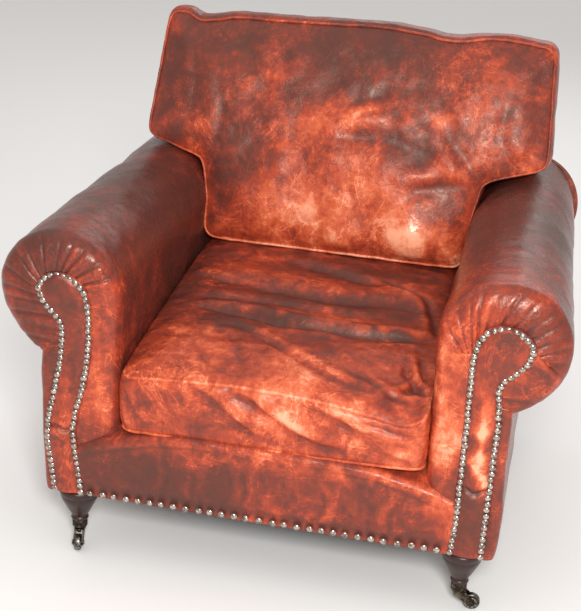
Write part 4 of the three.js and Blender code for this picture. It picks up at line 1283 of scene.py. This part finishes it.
def outside_back():
    """Outside back: one taut leather panel inside a welt that runs all round."""
    low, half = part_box("outside_back")[0].z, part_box("outside_back")[1].x
    cx, cz, radius = 0.392, 0.540, 0.105        # rear end of an arm's roll
    right = [(0.427, low), (0.427, 0.430)]
    for a in np.radians(range(-62, 84, 6)):
        right.append((min(cx + radius * math.cos(a), half), cz + radius * math.sin(a)))
    right += [(WING_X, 0.662), (WING_X, BACK_TOP_Z)]
    radii = np.full(2 * len(right), 0.006)
    radii[len(right) - 1:len(right) + 1] = 0.032
    outline = rounded(right + [(-x, z) for x, z in right[::-1]], radii, 6)
    rear = leaned(BACK_Y - 0.005, 0.0065, 0.03, outline)
    obj, *_ = boxed_cushion("outside_back_cover", outline, BACK_CELL,
                            leaned(PANEL_FRONT_Y + 0.0005, 0, 0.03, outline), rear, 4, 0.001)
    co = coords(obj)
    height = 0.0022 * fbm(co, 0.16, 99, 2) + 0.0009 * fbm(co * (1, 1, 0.5), 0.04, 101, 2)
    height += folds(co[:, [0, 2]], OUTSIDE_FOLDS)
    displace(obj, height * (normals(obj)[:, 1] > 0.3))
    subdivide(obj)
    upholster(obj, LEATHER_ARM, "outside_back", -0.02, OUTSIDE_PATCHES, relief=0.0009)
    path = resample(rear(outline), 700, closed=True) + (0, 0.0005, 0)
    sewn(tube("outside_back_welt", path, 0.0036, closed=True), obj, -0.14)


inside_back()
outside_back()

# ------------------------------------------------------------------ legs
LEG_AXIS = (0.372, -0.410)
LEG_PROFILE = [(0.0330, 0.1310), (0.0375, 0.1290), (0.0392, 0.1255), (0.0396, 0.1215),
               (0.0388, 0.1180), (0.0370, 0.1155), (0.0364, 0.1140), (0.0368, 0.1122),
               (0.0366, 0.1090), (0.0352, 0.1045), (0.0328, 0.0990), (0.0298, 0.0930),
               (0.0268, 0.0875), (0.0240, 0.0815), (0.0213, 0.0765), (0.0186, 0.0715),
               (0.0163, 0.0675), (0.0150, 0.0650), (0.0148, 0.0638), (0.0160, 0.0626),
               (0.0169, 0.0608), (0.0171, 0.0588), (0.0164, 0.0569), (0.0150, 0.0560),
               (0.0122, 0.0556), (0.0118, 0.0540), (0.0116, 0.0500), (0.0112, 0.0452)]
REAR_LEG_TOP = (0.366, 0.284, 0.130, 0.0245)     # x, y, z and half width
REAR_LEG_FOOT = (0.370, 0.330, 0.0, 0.0165)


def front_leg(side, sign):
    obj = lathe(f"front_leg_turned_{side}", LEG_PROFILE, 72)
    displace(obj, 0.0005 * fbm(coords(obj), 0.02, 111 + sign, 3))
    set_coords(obj, coords(obj) + (sign * LEG_AXIS[0], LEG_AXIS[1], 0))
    wear(obj, LEG_WOOD, (f"front_leg_{side}",))


def rear_leg(side, sign):
    """Square tapered leg that sweeps back in a soft curve."""
    around = 48
    a = np.linspace(0, 2 * math.pi, around, endpoint=False)
    square = np.stack([np.sign(f(a)) * np.abs(f(a)) ** 0.30 for f in (np.cos, np.sin)], axis=1)
    rings = []
    for t in np.linspace(0, 1, 30):
        x, y, z, half = np.array(REAR_LEG_TOP) * (1 - t) + np.array(REAR_LEG_FOOT) * t
        sweep = math.sin(math.pi * t)
        flat = (sign * x, y - 0.004 * sweep) + (half + 0.0015 * sweep) * square
        rings.append(np.column_stack([flat, np.full(around, z + 0.0008 * (t == 1))]))
    # Each end closes over a small bevel.
    caps = []
    for ring, shrink, rise in ((rings[0], 0.96, 0.001), (rings[-1], 0.94, -0.0008)):
        centre = ring.mean(0)
        caps.append([centre + (ring - centre) * share + (0, 0, rise) for share in (shrink, 0.0)])
    rings = caps[0][::-1] + rings + caps[1]
    obj = mesh_object(f"rear_leg_shaped_{side}", np.concatenate(rings),
                      grid_faces(len(rings), around, wrap=True))
    close_up(obj, 1e-6)
    wear(obj, LEG_WOOD, (f"rear_leg_{side}",))


for side, sign in SIDES:
    front_leg(side, sign)
    rear_leg(side, sign)


# ------------------------------------------------------------------ castors
# Half of the wheel's turned outline, hub to tread: radius and distance from the middle.
WHEEL_PROFILE = [(0.0034, 0.0066), (0.0062, 0.0066), (0.0068, 0.0060), (0.0072, 0.0044),
                 (0.0112, 0.0042), (0.0124, 0.0056), (0.0146, 0.0058), (0.0156, 0.0046),
                 (0.0160, 0.0026)]
# Middle line of the neck: how far ahead of the pivot, and how far below the cup's foot.
NECK_LINE = ((-0.004, -0.0035), (0.004, -0.0030), (0.010, -0.0034), (0.014, -0.0048))


def castor(side):
    """Turned wheel with a rounded tread and a raised hub, and the neck that joins the fork's two
    cheeks above it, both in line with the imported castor."""
    centre = np.array(sum(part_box(f"castor_wheel_{side}"), mathutils.Vector()) / 2)
    low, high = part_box(f"castor_cup_{side}")
    pivot = np.array([(low.x + high.x) / 2, (low.y + high.y) / 2, 0.0])
    heading = (centre - pivot) * (1, 1, 0)
    heading /= np.linalg.norm(heading)
    axle = np.array([-heading[1], heading[0], 0.0])
    wheel = lathe(f"castor_wheel_turned_{side}",
                  WHEEL_PROFILE + [(r, -z) for r, z in WHEEL_PROFILE[::-1]], 56)
    set_coords(wheel, centre + coords(wheel) @ np.array([heading, (0, 0, 1), axle]))
    close_up(wheel)
    wear(wheel, WHEEL_METAL, (f"castor_wheel_{side}",), f"wheel_{side}")
    path = [pivot + heading * ahead + (0, 0, low.z + drop) for ahead, drop in NECK_LINE]
    neck = tube(f"castor_neck_{side}", curve(path, 24), 0.0042, 14)
    wear(neck, CASTOR_METAL, body=f"castor_{side}")


for side, _ in SIDES:
    castor(side)


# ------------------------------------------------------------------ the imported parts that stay
KEPT = (
    (("castor_cup", "castor_fork", "castor_axle"), CASTOR_METAL),
    (("seat_spring",), SPRING_STEEL),
    (("seat_deck",), FELT),
    (("dust_cover",), LINING),
    (("back_webbing",), WEBBING),
    (("front_rail", "rear_rail", "front_post", "rear_post", "side_rail", "arm_rail", "back_top",
      "back_lower", "front_corner", "rear_corner", "scroll_board"), HARDWOOD),
)
for part in bpy.context.scene.objects:
    if "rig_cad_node" in part and not part.hide_render:
        for prefixes, material in KEPT:
            if part.name.startswith(prefixes):
                part.data.materials.clear()
                part.data.materials.append(material)


# ------------------------------------------------------------------ floor, light and camera
scene = bpy.context.scene
scene.view_settings.view_transform = "Standard"

FLOOR_REACH = 60.0
floor = mesh_object("studio_floor", np.array([(-1, -1, 0), (1, -1, 0), (1, 1, 0), (-1, 1, 0)])
                    * FLOOR_REACH, [(0, 1, 2, 3)])
floor.data.materials.append(Shader("studio_floor").finish(
    Base_Color=(0.93, 0.93, 0.93, 1.0), Roughness=0.8))

scene.world = bpy.data.worlds.new("studio")
scene.world.use_nodes = True
sky = scene.world.node_tree.nodes["Background"].inputs
sky["Color"].default_value = (1.0, 0.97, 0.94, 1)
sky["Strength"].default_value = 0.60


def soft_light(name, place, target, size, power, tint=(1, 1, 1)):
    lamp = bpy.data.lights.new(name, "AREA")
    lamp.shape = "RECTANGLE"
    lamp.size, lamp.size_y = size
    lamp.energy = power
    lamp.color = tint
    obj = bpy.data.objects.new(name, lamp)
    scene.collection.objects.link(obj)
    obj.location = place
    toward = mathutils.Vector(target) - mathutils.Vector(place)
    obj.rotation_euler = toward.to_track_quat("-Z", "Y").to_euler()


soft_light("key", (0.75, -3.0, 2.1), (0, 0, 0.5), (0.7, 0.7), 90, (1.0, 0.98, 0.95))
soft_light("top", (-0.6, -0.4, 3.4), (0, 0, 0.4), (3.4, 2.8), 14, (1.0, 0.97, 0.94))
soft_light("rear", (0.5, 3.0, 2.6), (0, 0, 0.5), (2.4, 1.8), 22)

CAMERA_PLACE = mathutils.Vector((0.470737, -2.615660, 1.527368))
CAMERA_AIM = mathutils.Vector((-0.058262, 0.0, 0.383636))
CAMERA_ROLL = math.radians(3.071)
camera_data = bpy.data.cameras.new("camera")
camera_data.lens = 81.98
camera_data.sensor_width = 36
camera = bpy.data.objects.new("camera", camera_data)
scene.collection.objects.link(camera)
forward = (CAMERA_AIM - CAMERA_PLACE).normalized()
level = forward.cross(mathutils.Vector((0, 0, 1))).normalized()
right_axis = math.cos(CAMERA_ROLL) * level + math.sin(CAMERA_ROLL) * level.cross(forward)
turn = mathutils.Matrix((right_axis, right_axis.cross(forward), -forward)).transposed()
camera.matrix_world = mathutils.Matrix.Translation(CAMERA_PLACE) @ turn.to_4x4()
scene.camera = camera
